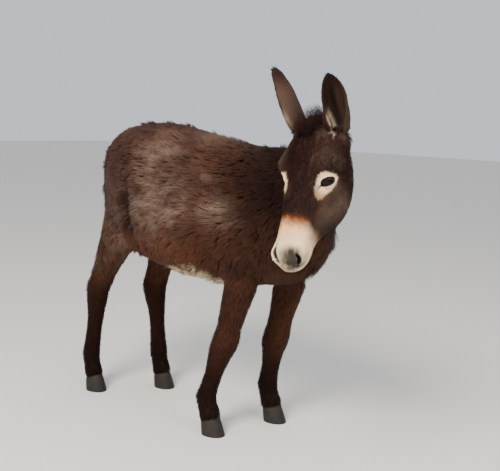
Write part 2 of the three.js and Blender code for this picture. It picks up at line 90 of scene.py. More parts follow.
# The pale ring round the eye, on its face: towards the muzzle, and towards the back of the cheek.
EYE_RING = np.array([
    (-0.0134, -0.0285), (-0.0200, -0.0180), (-0.0250, 0.0160), (-0.0250, 0.0260),
    (-0.0180, 0.0290), (0.0105, 0.0262), (0.0310, 0.0158), (0.0510, 0.0040),
    (0.0550, -0.0060), (0.0480, -0.0195), (0.0320, -0.0265), (-0.0050, -0.0310),
])
RING_SHARP = 400.0  # how crisp the ring's corners are
# How far the ring is drawn up the face: at the eye's middle, and for each metre towards the muzzle.
RING_SHIFTS = {"left": (0.0020, 0.0), "right": (0.0165, 0.20)}
# Where each nostril is, where it faces, the way it runs, and half its length and width.
NOSTRILS = {
    "left": ((0.4045, 0.0405, -0.0545), (0.42, 0.72, 0.55), (0.80, 0.10, -0.59), (0.0165, 0.0056)),
    "right": ((0.3950, -0.0350, -0.0455), (0.52, -0.28, 0.80), (0.90, 0.25, -0.35), (0.0185, 0.0066)),
}
NOSTRIL_DEEP = 0.016
NOSTRIL_CURVE = 0.0045
NOSTRIL_RIM = 0.0026
MOUTH_FRONT = 0.431
MOUTH_HEIGHT = -0.088  # at the front
MOUTH_SLOPE = -0.16
MOUTH_CORNER = 0.356
MOUTH_GROOVE = (-0.0034, 0.0024)  # how deep the line between the lips is, and how wide
# The upper and the lower lip: how high each stands, its place above the line, and how wide it is.
LIPS = ((0.0022, 0.010, 0.007), (0.0012, -0.010, 0.006))
EYE_GROOVE = (0.0018, 0.0035)  # how deep and how wide the grooves at the eyes' corners are
# The base and the tip of each ear, where its hollow faces, and its bend.
EAR_LINES = {
    "left": ((0.022, 0.067, -0.044), (-0.045, 0.131, 0.150), (0.88, 0.44, 0.19), (-0.018, 0.008, 0)),
    "right": (
        (0.022, -0.052, -0.038), (-0.117, -0.106, 0.103), (-0.05, -0.95, 0.16), (-0.004, 0.004, 0.018)
    ),
}
# How much wider each ear is made at the root, all along and at the tip, and how far its root is drawn out.
EAR_WIDER = {"left": (0.36, 0.0, 0.0, 0.0075), "right": (0.42, 0.12, 0.50, 0.0)}


def to_head(points):
    return (points - HEAD_PLACE) @ HEAD_AXES


def from_head(points):
    return HEAD_PLACE + np.asarray(points) @ HEAD_AXES.T


def unit(vectors):
    return vectors / np.maximum(np.linalg.norm(vectors, axis=-1, keepdims=True), 1e-9)


def lengths(vectors):
    return np.linalg.norm(vectors, axis=-1)


def eased(values, low, high):
    """A smooth step from 0 at low to 1 at high; high may be the lesser one."""
    part = np.clip((values - low) / (high - low), 0, 1)
    return part * part * (3 - 2 * part)


def bell(values, middle, reach):
    """A smooth rise to 1 at the middle."""
    return np.exp(-(((values - middle) / reach) ** 2))


def mixed(low, high, part):
    return low + (high - low) * part


def off_axis(vectors, axis):
    """Vectors without the part of them that runs along an axis."""
    return vectors - (vectors @ axis)[:, None] * axis


def flattened(vectors, normals):
    """Vectors without the part of them that runs along their own normals."""
    return vectors - (vectors * normals).sum(axis=1, keepdims=True) * normals


def kinds_of(nodes):
    """What each node is: its name up to the first underscore."""
    return np.array([name.split("_")[0] for name in nodes])


def eye_frame(side):
    """The middle of an eye, and the three directions that its face has, in the head's frame."""
    out = unit(np.array(EYE_OUT) * (1, SIDES[side], 1))
    down = unit(np.array([1.0, 0, 0]) - out * out[0])
    return np.array(EYE_PLACES[side]), out, down, np.cross(out, down) * SIDES[side]


def from_eye(head, side):
    return lengths(head - eye_frame(side)[0])


def ear_places(points, side):
    """How far along an ear each point is, from 0 to 1, its way off the ear's middle line, and the ear's
    axis, opening and width."""
    base, tip, opening, bend = (np.array(values) for values in EAR_LINES[side])
    head = to_head(points)
    axis = tip - base
    along = (head - base) @ axis / (axis @ axis)
    off = head - base - along[:, None] * axis - (2 * along * (1 - along))[:, None] * bend
    opening = unit(opening)
    return along, off, unit(axis), opening, unit(np.cross(unit(axis), opening))


def outside_ring(down, back):
    """How far a place on the eye's face is outside the pale ring; less than 0 is inside."""
    way = unit(np.roll(EYE_RING, -1, axis=0) - EYE_RING)
    out = np.stack([way[:, 1], -way[:, 0]], axis=1)
    out *= np.sign((out * (EYE_RING - EYE_RING.mean(axis=0))).sum(axis=1))[:, None]
    offs = np.stack([down, back], axis=1) @ out.T - (EYE_RING * out).sum(axis=1)
    return np.log(np.exp(np.clip(offs * RING_SHARP, -40, 40)).sum(axis=1)) / RING_SHARP


def eye_opening(head, side):
    """How far each point is outside the opening between the lids, along the eyeball, then how far it is
    above the slit, and from the eye's middle outward."""
    centre, out, down, back = eye_frame(side)
    off = head - centre
    slit = EYE_SLIT[0] * down + EYE_SLIT[1] * back
    above = -(EYE_SLIT[1] * down - EYE_SLIT[0] * back)
    middle = EYE_MIDDLE[0] * down + EYE_MIDDLE[1] * back
    direction = unit(off) * EYE_RADIUS
    turn = np.arctan2(lengths(np.cross(direction, out)), direction @ out)
    flat = unit(off_axis(direction, out)) * (turn * EYE_RADIUS)[:, None] - middle
    along, across = flat @ slit, flat @ above
    part = np.clip(along / EYE_HALF, -1, 1)
    part = part + np.where(across > 0, *EYE_ARCHES) * (1 - part**2)
    edge = np.where(across > 0, EYE_UPPER[side], EYE_LOWER)
    edge = edge * np.sqrt(np.clip(1 - part**2, 0, 1)) ** 1.2
    beyond = np.maximum(np.abs(along) - EYE_HALF, 0)
    outside = np.hypot(np.maximum(np.abs(across) - edge, 0), beyond)
    inside = np.minimum(edge - np.abs(across), EYE_HALF - np.abs(along))
    gap = np.where(outside > 0, outside, -np.maximum(inside, 0))
    return gap, across, off


def from_groove(head, side):
    """How far each point is from the grooves that lead away from an eye's corners."""
    centre, out, down, back = eye_frame(side)
    nearest = np.full(len(head), 1.0)
    for (near_down, near_back), (far_down, far_back) in EYE_CORNERS:
        start = centre + near_down * down + near_back * back
        line = (far_down - near_down) * down + (far_back - near_back) * back
        part = np.clip((head - start) @ line / (line @ line), 0, 1)
        off = head - start - part[:, None] * line
        away = lengths(off_axis(off, out)) + GROOVE_TAPER * part
        nearest = np.where(off @ out > 0, np.minimum(nearest, away), nearest)
    return nearest


def nostril_round(head, side):
    """How far each point is from a nostril's middle, in space and across its face: 1 is at its edge."""
    place, out, along, half = (np.array(values) for values in NOSTRILS[side])
    off = head - place
    out = unit(out)
    along = unit(along - out * (along @ out))
    a = off @ along / half[0]
    b = (off @ np.cross(out, along) + NOSTRIL_CURVE * SIDES[side] * (a * a - 0.5)) / half[1]
    c = off @ out / 0.03
    return np.sqrt(a * a + b * b + c * c), np.hypot(a, b) + np.maximum(np.abs(c) - 0.8, 0) * 10


def mouth_height(along):
    return MOUTH_HEIGHT + MOUTH_SLOPE * (MOUTH_FRONT - along)


# ---------- Even, repeatable noise ----------
def hashed(cells, seed):
    """A number from -1 to 1 for each whole-number cell."""
    value = (cells * np.array([73856093, 19349663, 83492791])).sum(axis=-1) + seed * 974634777
    value = value & 0xFFFFFFFF
    value = ((value ^ (value >> 15)) * 1274126177) & 0xFFFFFFFF
    value = value ^ (value >> 13)
    return (value & 0xFFFFFF) / 0x7FFFFF - 1


def noise(points, size, seed, stretch=None):
    """Smooth noise, mostly from -1 to 1, that changes over about size. A stretch of less than 1 draws it
    out along the first axis."""
    if stretch is not None:
        points = points * np.array([stretch, 1, 1])
    place = points / size
    cell = np.floor(place).astype(np.int64)
    part = place - cell
    ease = part * part * (3 - 2 * part)
    total = np.zeros(len(points))
    for corner in itertools.product((0, 1), repeat=3):
        weight = np.where(corner, ease, 1 - ease).prod(axis=1)
        total += weight * hashed(cell + corner, seed)
    return total * 1.4


# ---------- Meshes ----------
def mesh_of(name, points, triangles):
    mesh = bpy.data.meshes.new(name)
    mesh.vertices.add(len(points))
    mesh.vertices.foreach_set("co", np.ravel(points).astype(np.float32))
    mesh.loops.add(triangles.size)
    mesh.loops.foreach_set("vertex_index", triangles.ravel().astype(np.int32))
    mesh.polygons.add(len(triangles))
    mesh.polygons.foreach_set("loop_start", np.arange(0, triangles.size, 3, dtype=np.int32))
    mesh.update(calc_edges=True)
    mesh.shade_smooth()
    return mesh


def arrays_of(mesh):
    """The corners and triangles of a mesh of triangles."""
    points = np.empty(len(mesh.vertices) * 3, np.float32)
    mesh.vertices.foreach_get("co", points)
    triangles = np.empty(len(mesh.loops), np.int32)
    mesh.loops.foreach_get("vertex_index", triangles)
    return points.reshape(-1, 3).astype(float), triangles.reshape(-1, 3).astype(np.int64)


def set_values(mesh, values):
    """Stores one number for each corner under each name, which the material reads."""
    for name, numbers in values.items():
        attribute = mesh.attributes.new(name, "FLOAT", "POINT")
        attribute.data.foreach_set("value", np.asarray(numbers, np.float32))


def finished(work, name):
    """A mesh with what a bmesh holds, and the bmesh freed."""
    mesh = bpy.data.meshes.new(name)
    work.to_mesh(mesh)
    work.free()
    return mesh


def settled(thing, **settings):
    """A thing with its attributes set by name."""
    for key, value in settings.items():
        setattr(thing, key, value)
    return thing


def added(name, mesh):
    piece = bpy.data.objects.new(name, mesh)
    bpy.context.scene.collection.objects.link(piece)
    return piece


def placed(name, mesh, material, slot, *replaced):
    """Adds a piece of the animal, with its material and the nodes that it stands for. Its slot is not used.
    """
    mesh.materials.clear()
    mesh.materials.append(material)
    piece = added(name, mesh)
    if replaced:
        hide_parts(*replaced)
    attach(piece, "root")


def changed(mesh, *modifiers, weights=None):
    """A new mesh, with modifiers of these kinds and settings applied."""
    work = added("work", mesh)
    if weights is not None:
        group = work.vertex_groups.new(name="weights")
        group.add(np.flatnonzero(weights).tolist(), 1.0, "REPLACE")
    for kind, settings in modifiers:
        settled(work.modifiers.new(kind, kind), **settings)
    graph = bpy.context.evaluated_depsgraph_get()
    made = bpy.data.meshes.new_from_object(work.evaluated_get(graph))
    bpy.data.objects.remove(work)
    return made


def corner_normals(points, triangles):
    a, b, c = (points[triangles[:, k]] for k in range(3))
    face = np.cross(b - a, c - a)
    total = np.zeros_like(points)
    for k, axis in itertools.product(range(3), range(3)):
        total[:, axis] += np.bincount(triangles[:, k], face[:, axis], len(points))
    return unit(total)


def edges_of(triangles):
    pairs = np.concatenate([triangles[:, [0, 1]], triangles[:, [1, 2]], triangles[:, [2, 0]]])
    return np.unique(np.sort(pairs, axis=1), axis=0)


def blurred(values, edges, rounds, share=0.5):
    """Each corner's values, moved towards the mean of its neighbours' so many times."""
    a, b = edges.T
    count = len(values)
    near = np.maximum(np.bincount(edges.ravel(), minlength=count), 1)
    columns = values.reshape(count, -1).copy()
    for _ in range(rounds):
        for k in range(columns.shape[1]):
            column = columns[:, k]
            total = np.bincount(a, column[b], count) + np.bincount(b, column[a], count)
            columns[:, k] = column + share * (total / near - column)
    return columns.reshape(values.shape)


# ---------- The skin's shape ----------
APART = ("eye", "hoof", "mane", "forelock", "tail_switch")  # the nodes that aren't flesh
FLESH = [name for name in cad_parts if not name.startswith(APART)]
FORM = FLESH + ["eye_left", "eye_right"]  # what the skin goes over
OVERLAP = 0.0015  # the flesh's solids are swollen by this, so that they join
WELD = 2e-6  # corners closer than this are one
VOXEL = 0.004
THINNED = 0.34  # the share of the body's triangles that are kept
# The face isn't thinned: it is what is this near to its middle, this high and this far forward.
FACE_MIDDLE, FACE_REACH, FACE_LOW, FACE_BACK = np.array([0.15, 0, -0.06]), 0.38, -0.26, 0.33
# Where edges are halved, in each round: how near the eyes, and how far along the muzzle.
HALVED = ((0.046, 0.355), (0.034, 2.0))
# How far the skin is smoothed on the ears, the head and elsewhere, and in how many rounds.
SOFTNESS, SMOOTHING = (0.12, 0.35, 0.6), 14
ROOT_SMOOTHING = 16  # rounds more at the ears' roots
SOFTNESS_ROUNDS, HAIR_ROUNDS, DEPTH_ROUNDS = 4, 12, 8  # how widely these values are blended
MUZZLE_HALF, MUZZLE_MIDDLE, MUZZLE_HIGH = 0.07, -0.08, 0.08  # half its width, and its middle and half height


def fused_flesh():
    """The flesh's solids and the eyes as one closed mesh."""
    joined = bmesh.new()
    for name in FORM:
        part = bmesh.new()
        part.from_mesh(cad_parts[name].data)
        bmesh.ops.remove_doubles(part, verts=part.verts, dist=WELD)
        part.normal_update()
        for corner in part.verts:
            corner.co += corner.normal * OVERLAP
        joined.from_mesh(finished(part, name))
    mesh = finished(joined, "flesh")
    fine = changed(mesh, ("REMESH", {"mode": "VOXEL", "voxel_size": VOXEL}), ("TRIANGULATE", {}))
    points, _ = arrays_of(fine)
    head = to_head(points)
    away = lengths(head - FACE_MIDDLE)
    body = (away > FACE_REACH) | (head[:, 2] < FACE_LOW) | (points[:, 0] < FACE_BACK)
    settings = {"ratio": THINNED, "vertex_group": "weights", "vertex_group_factor": 1000}
    return changed(fine, ("DECIMATE", settings), weights=body)


def refined(mesh, chosen):
    """A mesh with the edges between its chosen corners halved."""
    work = bmesh.new()
    work.from_mesh(mesh)
    edges = [edge for edge in work.edges if all(chosen[corner.index] for corner in edge.verts)]
    bmesh.ops.subdivide_edges(work, edges=edges, cuts=1)
    bmesh.ops.triangulate(work, faces=work.faces)
    return finished(work, "refined")


def solids_tree(names):
    """A search tree over these nodes' solids, and the name of the node that each of its faces is of."""
    corners, triangles, owners = [], [], []
    for name in names:
        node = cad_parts[name].data
        node.calc_loop_triangles()
        count = len(corners)
        corners += [corner.co for corner in node.vertices]
        triangles += [tuple(count + i for i in face.vertices) for face in node.loop_triangles]
        owners += [name] * len(node.loop_triangles)
    return BVHTree.FromPolygons(corners, triangles), owners


def nearest_nodes(points):
    """The name of the flesh node that each point is nearest to."""
    tree, owners = solids_tree(FLESH)
    return np.array([owners[tree.find_nearest(point)[2]] for point in points.tolist()])


# ---------- The coat's markings ----------
# Where the coat is faded to tan on the trunk, the last being a painted highlight along the top line: along
# and up, how far it reaches, and how strongly.
TAN_PATCHES = (
    ((-0.16, 0.785), (0.135, 0.100), 0.80),
    ((0.130, 0.768), (0.075, 0.038), 0.80),
    ((-0.065, 0.765), (0.060, 0.050), 0.85),
    ((-0.185, 0.770), (0.075, 0.060), 0.80),
    ((-0.180, 0.918), (0.085, 0.045), 0.66),
    ((-0.105, 0.828), (0.050, 0.025), 0.95),
    ((0.072, 0.868), (0.050, 0.016), 0.34),
    # A painted highlight along the top line.
    ((0.020, 0.985), (0.300, 0.030), 0.22),
)
# How far each ear's pale fringe is from its middle line, at the root and further up, and how wide it is.
EAR_FRINGES = {"left": (0.006, 0.023, 0.0055), "right": (0.018, 0.030, 0.0100)}
# The last marking is painted shade in recesses: up the ears' middles, in the gaps between the lids and the
# eyeballs, and inside the nostrils. It only darkens the tone.
MARKS = ("tan", "dark", "pale", "flush", "rust", "bare", "hollow")


def over(marks, **values):
    """Raises each marking to at least these values."""
    for name, numbers in values.items():
        marks[name] = np.maximum(marks[name], numbers)


def mark_body(marks, points, normals, kinds, patchy, fine):
    """The tan flank with a painted highlight along the top line, near black legs and front with painted shade
    on the neck, on the fore legs' backs and in the crease before the haunch, red-brown low parts and pale
    belly.
    """
    x, y, z = points.T
    body = ~np.isin(kinds, ("head", "ear"))
    tan = 0.20 * eased(-x, 0.28, 0.36) * eased(0.80 - z, 0, 0.10) * eased(z, 0.46, 0.56)
    for (px, pz), (reach_x, reach_z), strength in TAN_PATCHES:
        away = ((x - px) / reach_x) ** 2 + ((z - pz) / reach_z) ** 2
        tan = np.maximum(tan, strength * np.exp(-away))
    drawn = noise(points, 0.016, 16, 0.35) + 0.6 * noise(points, 0.007, 17, 0.3)
    over(marks, tan=tan * (body * np.clip(0.90 + 0.35 * patchy + 0.40 * drawn, 0, 1.4)))

    # The legs, the fore ones darker behind as painted shade, then the breast and neck, partly dark of
    # themselves and partly in painted shade under the head, and painted shade in the crease before the
    # haunch.
    hind = eased(-x, 0.05, 0.15)
    # Painted shade on the sides of the fore legs that face back.
    behind = eased(-normals[:, 0], -0.1, 0.6)
    legs = hind * eased(0.50 - z, 0, 0.13)
    legs = legs + (1 - hind) * (0.60 * eased(0.42 - z, 0, 0.2) + 0.35 * behind)
    legs = np.minimum(legs + (1 - hind) * 0.35 * eased(0.28 - z, 0, 0.10), 1)
    # The front, mostly the neck and shoulders: partly their own dark and partly painted shade under the head.
    front = eased(x + 0.04 * patchy, 0.02, 0.26) * (0.10 + 0.80 * eased(z, 0.66, 0.84))
    front = front * eased(z, 0.48, 0.58) * (1 - 0.7 * eased(z, 0.98, 1.05))
    # Painted shade in the crease before the haunch.
    fold_shade = 0.6 * bell(x, -0.30, 0.022) * eased(0.88 - z, 0, 0.1) * eased(z, 0.52, 0.60)
    over(marks, dark=body * np.maximum.reduce([legs, front, fold_shade]))

    # The belly's arched edge, and the red-brown above it and on the legs.
    edge = 0.588 - 2.2 * (x + 0.01) ** 2 - z
    under = eased(edge + 0.008 * patchy + 0.010 * fine, 0, 0.040)
    belly = under * eased(x, -0.24, -0.14) * eased(0.13 - x, 0, 0.06)
    low = eased(0.72 - z + 0.03 * patchy, 0, 0.10)
    low = low * eased(x, -0.40, -0.30) * eased(0.16 - x, 0, 0.12)
    over(marks, rust=0.22 * low * eased(z, 0.46, 0.52) * body * (1 - under))
    over(marks, rust=0.05 * body * eased(0.56 - z, 0, 0.12) * eased(z, 0.10, 0.30))
    breast = eased(0.06 - np.abs(y - 0.14), 0, 0.04) * eased(0.53 - z, 0, 0.03) * eased(x, 0.14, 0.20)
    pale = np.clip(0.46 + 0.25 * fine, 0, 1) * np.maximum(belly, 0.5 * breast)
    over(marks, pale=pale * (kinds == "trunk"))


def mark_head(marks, head, on_head, patchy, fine):
    """The paler cheeks and brows, the right brow lighter still as painted sheen, the dark bridge, and the
    pale muzzle with its rim, grey nose and warmer left side, which is partly painted shade.
    """
    x, y, z = head.T
    cheek = eased(np.abs(y), 0.040, 0.070) * eased(x, 0.13, 0.20) * eased(-z, 0.02, 0.07)
    brow = eased(np.abs(y), 0.035, 0.085) * bell(x, 0.10, 0.040) * eased(z, -0.07, -0.03)
    # Painted sheen: the right brow is drawn lighter than the left, where light glances off it.
    brow *= np.where(y < 0, 0.75, 0.40)
    over(marks, tan=on_head * np.maximum(0.36 * cheek, brow) * np.clip(0.9 + 0.7 * patchy, 0, 1.3))
    combed = noise(head, 0.010, 18, 0.35) + 0.6 * noise(head, 0.022, 19, 0.5)
    over(marks, tan=on_head * 0.30 * np.clip(combed - 0.1, 0, 1) * eased(0.30 - x, 0, 0.05))
    bridge = eased(0.045 - np.abs(y), 0, 0.02) * eased(z, -0.09, -0.05)
    crown = eased(0.055 - np.abs(y), 0, 0.03) * eased(0.035 - x, 0, 0.05)
    over(marks, dark=on_head * np.maximum(0.57 + 0.22 * bridge, 0.58 * crown) * (1 - 0.65 * cheek))

    # How far along the muzzle its pale part begins, and from there the rust edge, the peach and the cream.
    rim = 0.286 + 0.20 * np.maximum(np.abs(y) - 0.022, 0) + 0.26 * np.clip(-z - 0.045, 0, 0.06)
    rim = rim + 0.0055 * fine
    muzzle = np.clip((x - rim) / (0.040 + 0.30 * np.clip(-z - 0.040, 0, 0.06)), 0, 1)
    beside = eased(-z, 0.032, 0.055)
    # The muzzle's left side turns towards peach: partly its own pink and partly painted shade.
    cheeks = 0.50 * eased(y, 0.018, 0.045) * eased(0.410 - x, 0, 0.04)
    behind = 0.15 + 0.80 * eased(rim + 0.100 - x, 0, 0.070) * (1 - 0.75 * beside)
    edge = eased(x, rim - 0.012, rim + 0.006) * eased(rim + 0.050 - x, 0, 0.02)
    over(marks, pale=on_head * muzzle**1.5, flush=on_head * np.maximum(cheeks, behind))
    over(marks, rust=0.62 * on_head * edge * (1 - beside))

    # The bare grey skin, mostly round the left nostril, and the lips' edges.
    grey = bell(y, 0.023, 0.027) + 0.24 * bell(y, -0.010, 0.018)
    bare = eased(x, 0.362, 0.398) * grey * eased(z, -0.088, -0.068)
    veined = 0.92 + 0.12 * fine + 0.30 * noise(head, 0.008, 20, 0.25)
    over(marks, bare=on_head * (1 - (1 - np.clip(bare * veined, 0, 1)) ** 2.5))
    mouth = np.abs(z - mouth_height(x))
    over(marks, bare=on_head * eased(x, 0.360, 0.395) * eased(0.008 - mouth, 0, 0.006))


def mark_eye_and_nostril(marks, head, on_head, side, fine):
    """One side's pale ring, bare lids and groove, and its bare nostril, with painted shade in the gap between
    the lids and the eyeball and down inside the nostril.
    """
    centre, out, down, back = eye_frame(side)
    off = head - centre
    near = (off @ out > -0.02) & (lengths(off) < 0.08)
    shift, slope = RING_SHIFTS[side]
    ring = outside_ring(off @ down, off @ back + shift + slope * (off @ down)) + 0.0015 * fine
    fading = eased(off @ down, 0.020, 0.052)
    over(marks, pale=near * eased(ring, 0.003, -0.003) * (1 - 0.50 * fading))
    marks["flush"] = np.where(near, 0.25 + 0.40 * fading, marks["flush"])
    over(marks, rust=near * eased(ring, 0.008, 0.0) * (0.05 + 0.30 * fading))
    gap = eye_opening(head, side)[0]
    lid = np.maximum(eased(gap, 0.0044, 0.0016), eased(from_groove(head, side), 0.0030, 0.0014))
    # Painted shade in the gap between the lids and the eyeball.
    over(marks, bare=near * lid, hollow=0.75 * near * eased(gap, 0.0030, 0.0010))
    rounds, across = nostril_round(head, side)
    own_side = eased(abs(NOSTRILS[side][0][1]) + 0.004 - SIDES[side] * head[:, 1], 0, 0.010)
    over(marks, bare=on_head * eased(rounds, 2.3, 1.1) * own_side)
    # The nostril's opening is bare skin, with painted shade down inside it.
    over(marks, bare=on_head * eased(across, 1.22, 0.95), hollow=on_head * eased(across, 1.10, 0.80))


def mark_ear(marks, points, normals, node, side, fine):
    """One ear: dark at the tip and, as painted shade, darker inside its cup, tan outside and, as painted
    light, on the lit half of the cup, with a pale fringe and a painted shadow up the middle of the cup.
    """
    along, off, _, opening, wide = ear_places(points, side)
    tipped = eased(along, 0.55, 0.92)
    across = -SIDES[side] * (off @ wide)
    inside = eased((normals @ HEAD_AXES) @ opening, 0.0, 0.4)
    # Painted light: inside the cup, tan shows only on the half where light falls.
    lit = inside * eased(across, 0.002, -0.008) + 0.8 * (1 - inside)
    at_root, upper, width = EAR_FRINGES[side]
    fringe = bell(across, mixed(at_root, upper, eased(along, 0.0, 0.36)), width)
    hidden = inside if side == "left" else eased(off @ opening, -0.011, -0.003)
    fringe *= eased(0.44 - along, 0, 0.20) * eased(along, 0.02, 0.07) * hidden
    # A painted shadow up the deep middle of the ear's cup.
    slit = bell(across, mixed(-0.008, 0.006, eased(along, 0.10, 0.60)), 0.0055)
    slit *= eased(along, 0.05, 0.15) * eased(0.85 - along, 0, 0.25)
    values = {
        # Inside the cup the dark is raised, as painted shade.
        "dark": np.maximum(0.35 + 0.20 * inside, 0.65 * tipped),
        "tan": 0.34 * (1 - tipped) * lit,
        "pale": np.clip(0.55 + 0.3 * fine, 0, 1) * fringe,
        "hollow": 0.9 * inside * slit,
    }
    for name, numbers in values.items():
        marks[name] = np.where(node == f"ear_{side}", numbers, marks[name])


def markings(points, normals, node):
    """The coat's markings at points, from 0 to 1, and its tone, from about -1 to 1 but pulled far lower where
    shade is painted into recesses.
    """
    head = to_head(points)
    kinds = kinds_of(node)
    on_head = kinds == "head"
    patchy = noise(points, 0.10, 3) + 0.5 * noise(points, 0.045, 4)
    fine = noise(points, 0.022, 5) + 0.5 * noise(points, 0.009, 6)
    marks = {name: np.zeros(len(points)) for name in MARKS}
    mark_body(marks, points, normals, kinds, patchy, fine)
    mark_head(marks, head, on_head, patchy, fine)
    for side in SIDES:
        mark_eye_and_nostril(marks, head, on_head, side, fine)
    for side in SIDES:
        mark_ear(marks, points, normals, node, side, fine)
    body = ~np.isin(kinds, ("head", "ear"))
    streaks = noise(points, 0.014, 8, 0.2) * eased(points[:, 2], 0.80, 0.92)
    tone = 0.55 * noise(points, 0.07, 9) + 0.35 * patchy + 0.35 * body * streaks
    # Painted shade in the recesses: the tone is pulled far down there.
    tone -= 3.0 * marks.pop("hollow")
    patches = 0.45 * noise(points, 0.030, 14) + 0.3 * noise(points, 0.014, 15)
    marks["tone"] = tone + on_head * patches * (1 - marks["pale"])
    return marks


# ---------- Hair ----------
# For each part: how far the skin lies inside the coat's outline, the tufts' length and width, how many there
# are to the square metre, and how unruly they are.
HAIR_KEYS = ("depth", "length", "width", "crowd", "unrest")
HAIR = {
    "trunk": (0.0140, 0.040, 0.0036, 54000, 1.0),
    "neck": (0.0120, 0.034, 0.0034, 58000, 0.8),
    "head": (0.0062, 0.020, 0.0026, 80000, 0.5),
    "ear": (0.0012, 0.010, 0.0016, 110000, 0.3),
    "forearm": (0.0085, 0.026, 0.0031, 60000, 0.5),
    "thigh": (0.0100, 0.030, 0.0033, 58000, 0.6),
    "cannon": (0.0055, 0.019, 0.0026, 60000, 0.4),
    "tail": (0.0070, 0.030, 0.0032, 50000, 0.4),
}
LONGEST = HAIR["trunk"][1]
FACE_HAIR = {"depth": 0.0016, "length": 0.0045, "width": 0.0013, "crowd": 170000}
LID_HAIR = {"depth": 0.0012, "length": 0.0055, "width": 0.0014, "crowd": 150000}
FETLOCK_HAIR = {"depth": 0.0015, "length": 0.026, "crowd": 90000}


def hair_fields(points, node):
    """What the hair is like at each of the skin's corners: HAIR's values, and its lie."""
    kinds = kinds_of(node)
    table = np.array([HAIR[kind] for kind in kinds]).T
    fields = {key: column.copy() for key, column in zip(HAIR_KEYS, table)}
    head = to_head(points)
    on_head = kinds == "head"
    bridge = eased(head[:, 2], -0.07, -0.01) * eased(head[:, 0], 0.12, 0.20)
    trim = on_head * np.maximum(eased(head[:, 0], 0.10, 0.33), 0.75 * bridge)
    places = [(FACE_HAIR, trim)]
    for side in SIDES:
        places.append((LID_HAIR, on_head * eased(from_eye(head, side), 0.060, 0.030)))
    places.append((FETLOCK_HAIR, (kinds == "cannon") * eased(0.105 - points[:, 2], 0, 0.02)))
    for values, part in places:
        for key, value in values.items():
            fields[key] = mixed(fields[key], value, part)
    fields["lie"] = lie_of_hair(points, head, node, kinds)
    return fields


def lie_of_hair(points, head, node, kinds):
    """The way the hair lies, in space, before it is laid along the skin."""
    x, _, z = points.T
    backward, down = np.array([-1.0, 0, -0.12]), np.array([-0.62, 0, -0.78])
    trunk = mixed(backward, down, eased(0.95 - z, 0, 0.35)[:, None])
    trunk = mixed(trunk, np.array([-0.15, 0, -1.0]), eased(x, 0.22, 0.36)[:, None])
    trunk = mixed(trunk, np.array([-0.25, 0, -1.0]), eased(-x, 0.46, 0.58)[:, None])
    lie = np.where((kinds == "trunk")[:, None], trunk, np.array([-0.14, 0, -1.0]))
    lie[kinds == "neck"] = (-0.42, 0.10, -0.85)

    outward = 0.5 * np.sign(head[:, 1])
    face = np.stack([np.full(len(x), 0.75), outward, np.full(len(x), -0.55)], axis=1)
    face = unit(mixed(face, np.array([1.0, 0, 0]), eased(head[:, 2], -0.08, -0.01)[:, None]))
    for side in SIDES:
        centre, out, _, _ = eye_frame(side)
        off = head - centre
        close = eased(from_eye(head, side), 0.055, 0.026)[:, None]
        face = mixed(face, unit(off_axis(off, out)) * 1.5, close)
    lie = np.where((kinds == "head")[:, None], face @ HEAD_AXES.T, lie)
    for side in SIDES:
        lie[node == f"ear_{side}"] = ear_places(points, side)[2] @ HEAD_AXES.T
    return lie


def turned(ways, normals, angles):
    """Directions turned about the skin's normals."""
    side = np.cross(normals, ways)
    return ways * np.cos(angles)[:, None] + side * np.sin(angles)[:, None]


# ---------- The skin's finer forms ----------
# Soft forms on the left, where they are, how far they reach and how high they stand, on the left and on
# the right. On the body, the second length is from the middle.
HEAD_FORMS = (
    ((0.126, 0.080, -0.014), (0.028, 0.022, 0.018), (0.004, 0.004)),  # brow
    ((0.190, 0.078, -0.040), (0.036, 0.030, 0.040), (-0.003, -0.012)),  # sunken eye
    ((0.150, 0.075, -0.030), (0.030, 0.030, 0.035), (0.0, -0.004)),  # under the right brow
    ((0.265, 0.055, -0.040), (0.040, 0.030, 0.040), (0.0, -0.005)),  # hollow of the right cheek
    ((0.215, 0.066, -0.040), (0.042, 0.026, 0.036), (-0.0070, -0.0090)),  # hollow before the eye
    ((0.080, 0.075, -0.060), (0.030, 0.020, 0.020), (-0.004, -0.004)),  # temple
    ((0.016, 0.093, -0.060), (0.040, 0.028, 0.036), (0.026, 0.012)),  # root of the ear
    ((0.080, 0.095, -0.110), (0.050, 0.030, 0.050), (0.005, 0.0)),  # cheek under the ear
)
BODY_FORMS = (
    ((-0.298, 0.190, 0.705), (0.017, 0.110, 0.105), (-0.015, -0.015)),  # fold before the haunch
    ((-0.350, 0.180, 0.690), (0.032, 0.100, 0.120), (0.007, 0.007)),  # front edge of the haunch
    ((-0.235, 0.200, 0.680), (0.040, 0.090, 0.090), (0.004, 0.004)),  # belly behind the ribs
)


def with_forms(points, normals, kinds):
    """The skin's points, with its soft forms raised and pressed in."""
    rise = np.zeros(len(points))
    on_body = np.isin(kinds, ("trunk", "thigh"))
    off_middle = points - np.array([0, CENTRE_Y, 0])
    for places, chosen, forms in (
        (to_head(points), kinds == "head", HEAD_FORMS),
        (off_middle, on_body, BODY_FORMS),
    ):
        mirrored = np.stack([places[:, 0], np.abs(places[:, 1]), places[:, 2]], axis=1)
        for place, reach, (left, right) in forms:
            away = (((mirrored - np.array(place)) / np.array(reach)) ** 2).sum(axis=1)
            rise += chosen * np.where(places[:, 1] > 0, left, right) * np.exp(-away)
    return points + normals * rise[:, None]


def round_ear(off):
    """How surely a place is close to an ear's middle line."""
    return eased(0.075 - lengths(off), 0, 0.03)


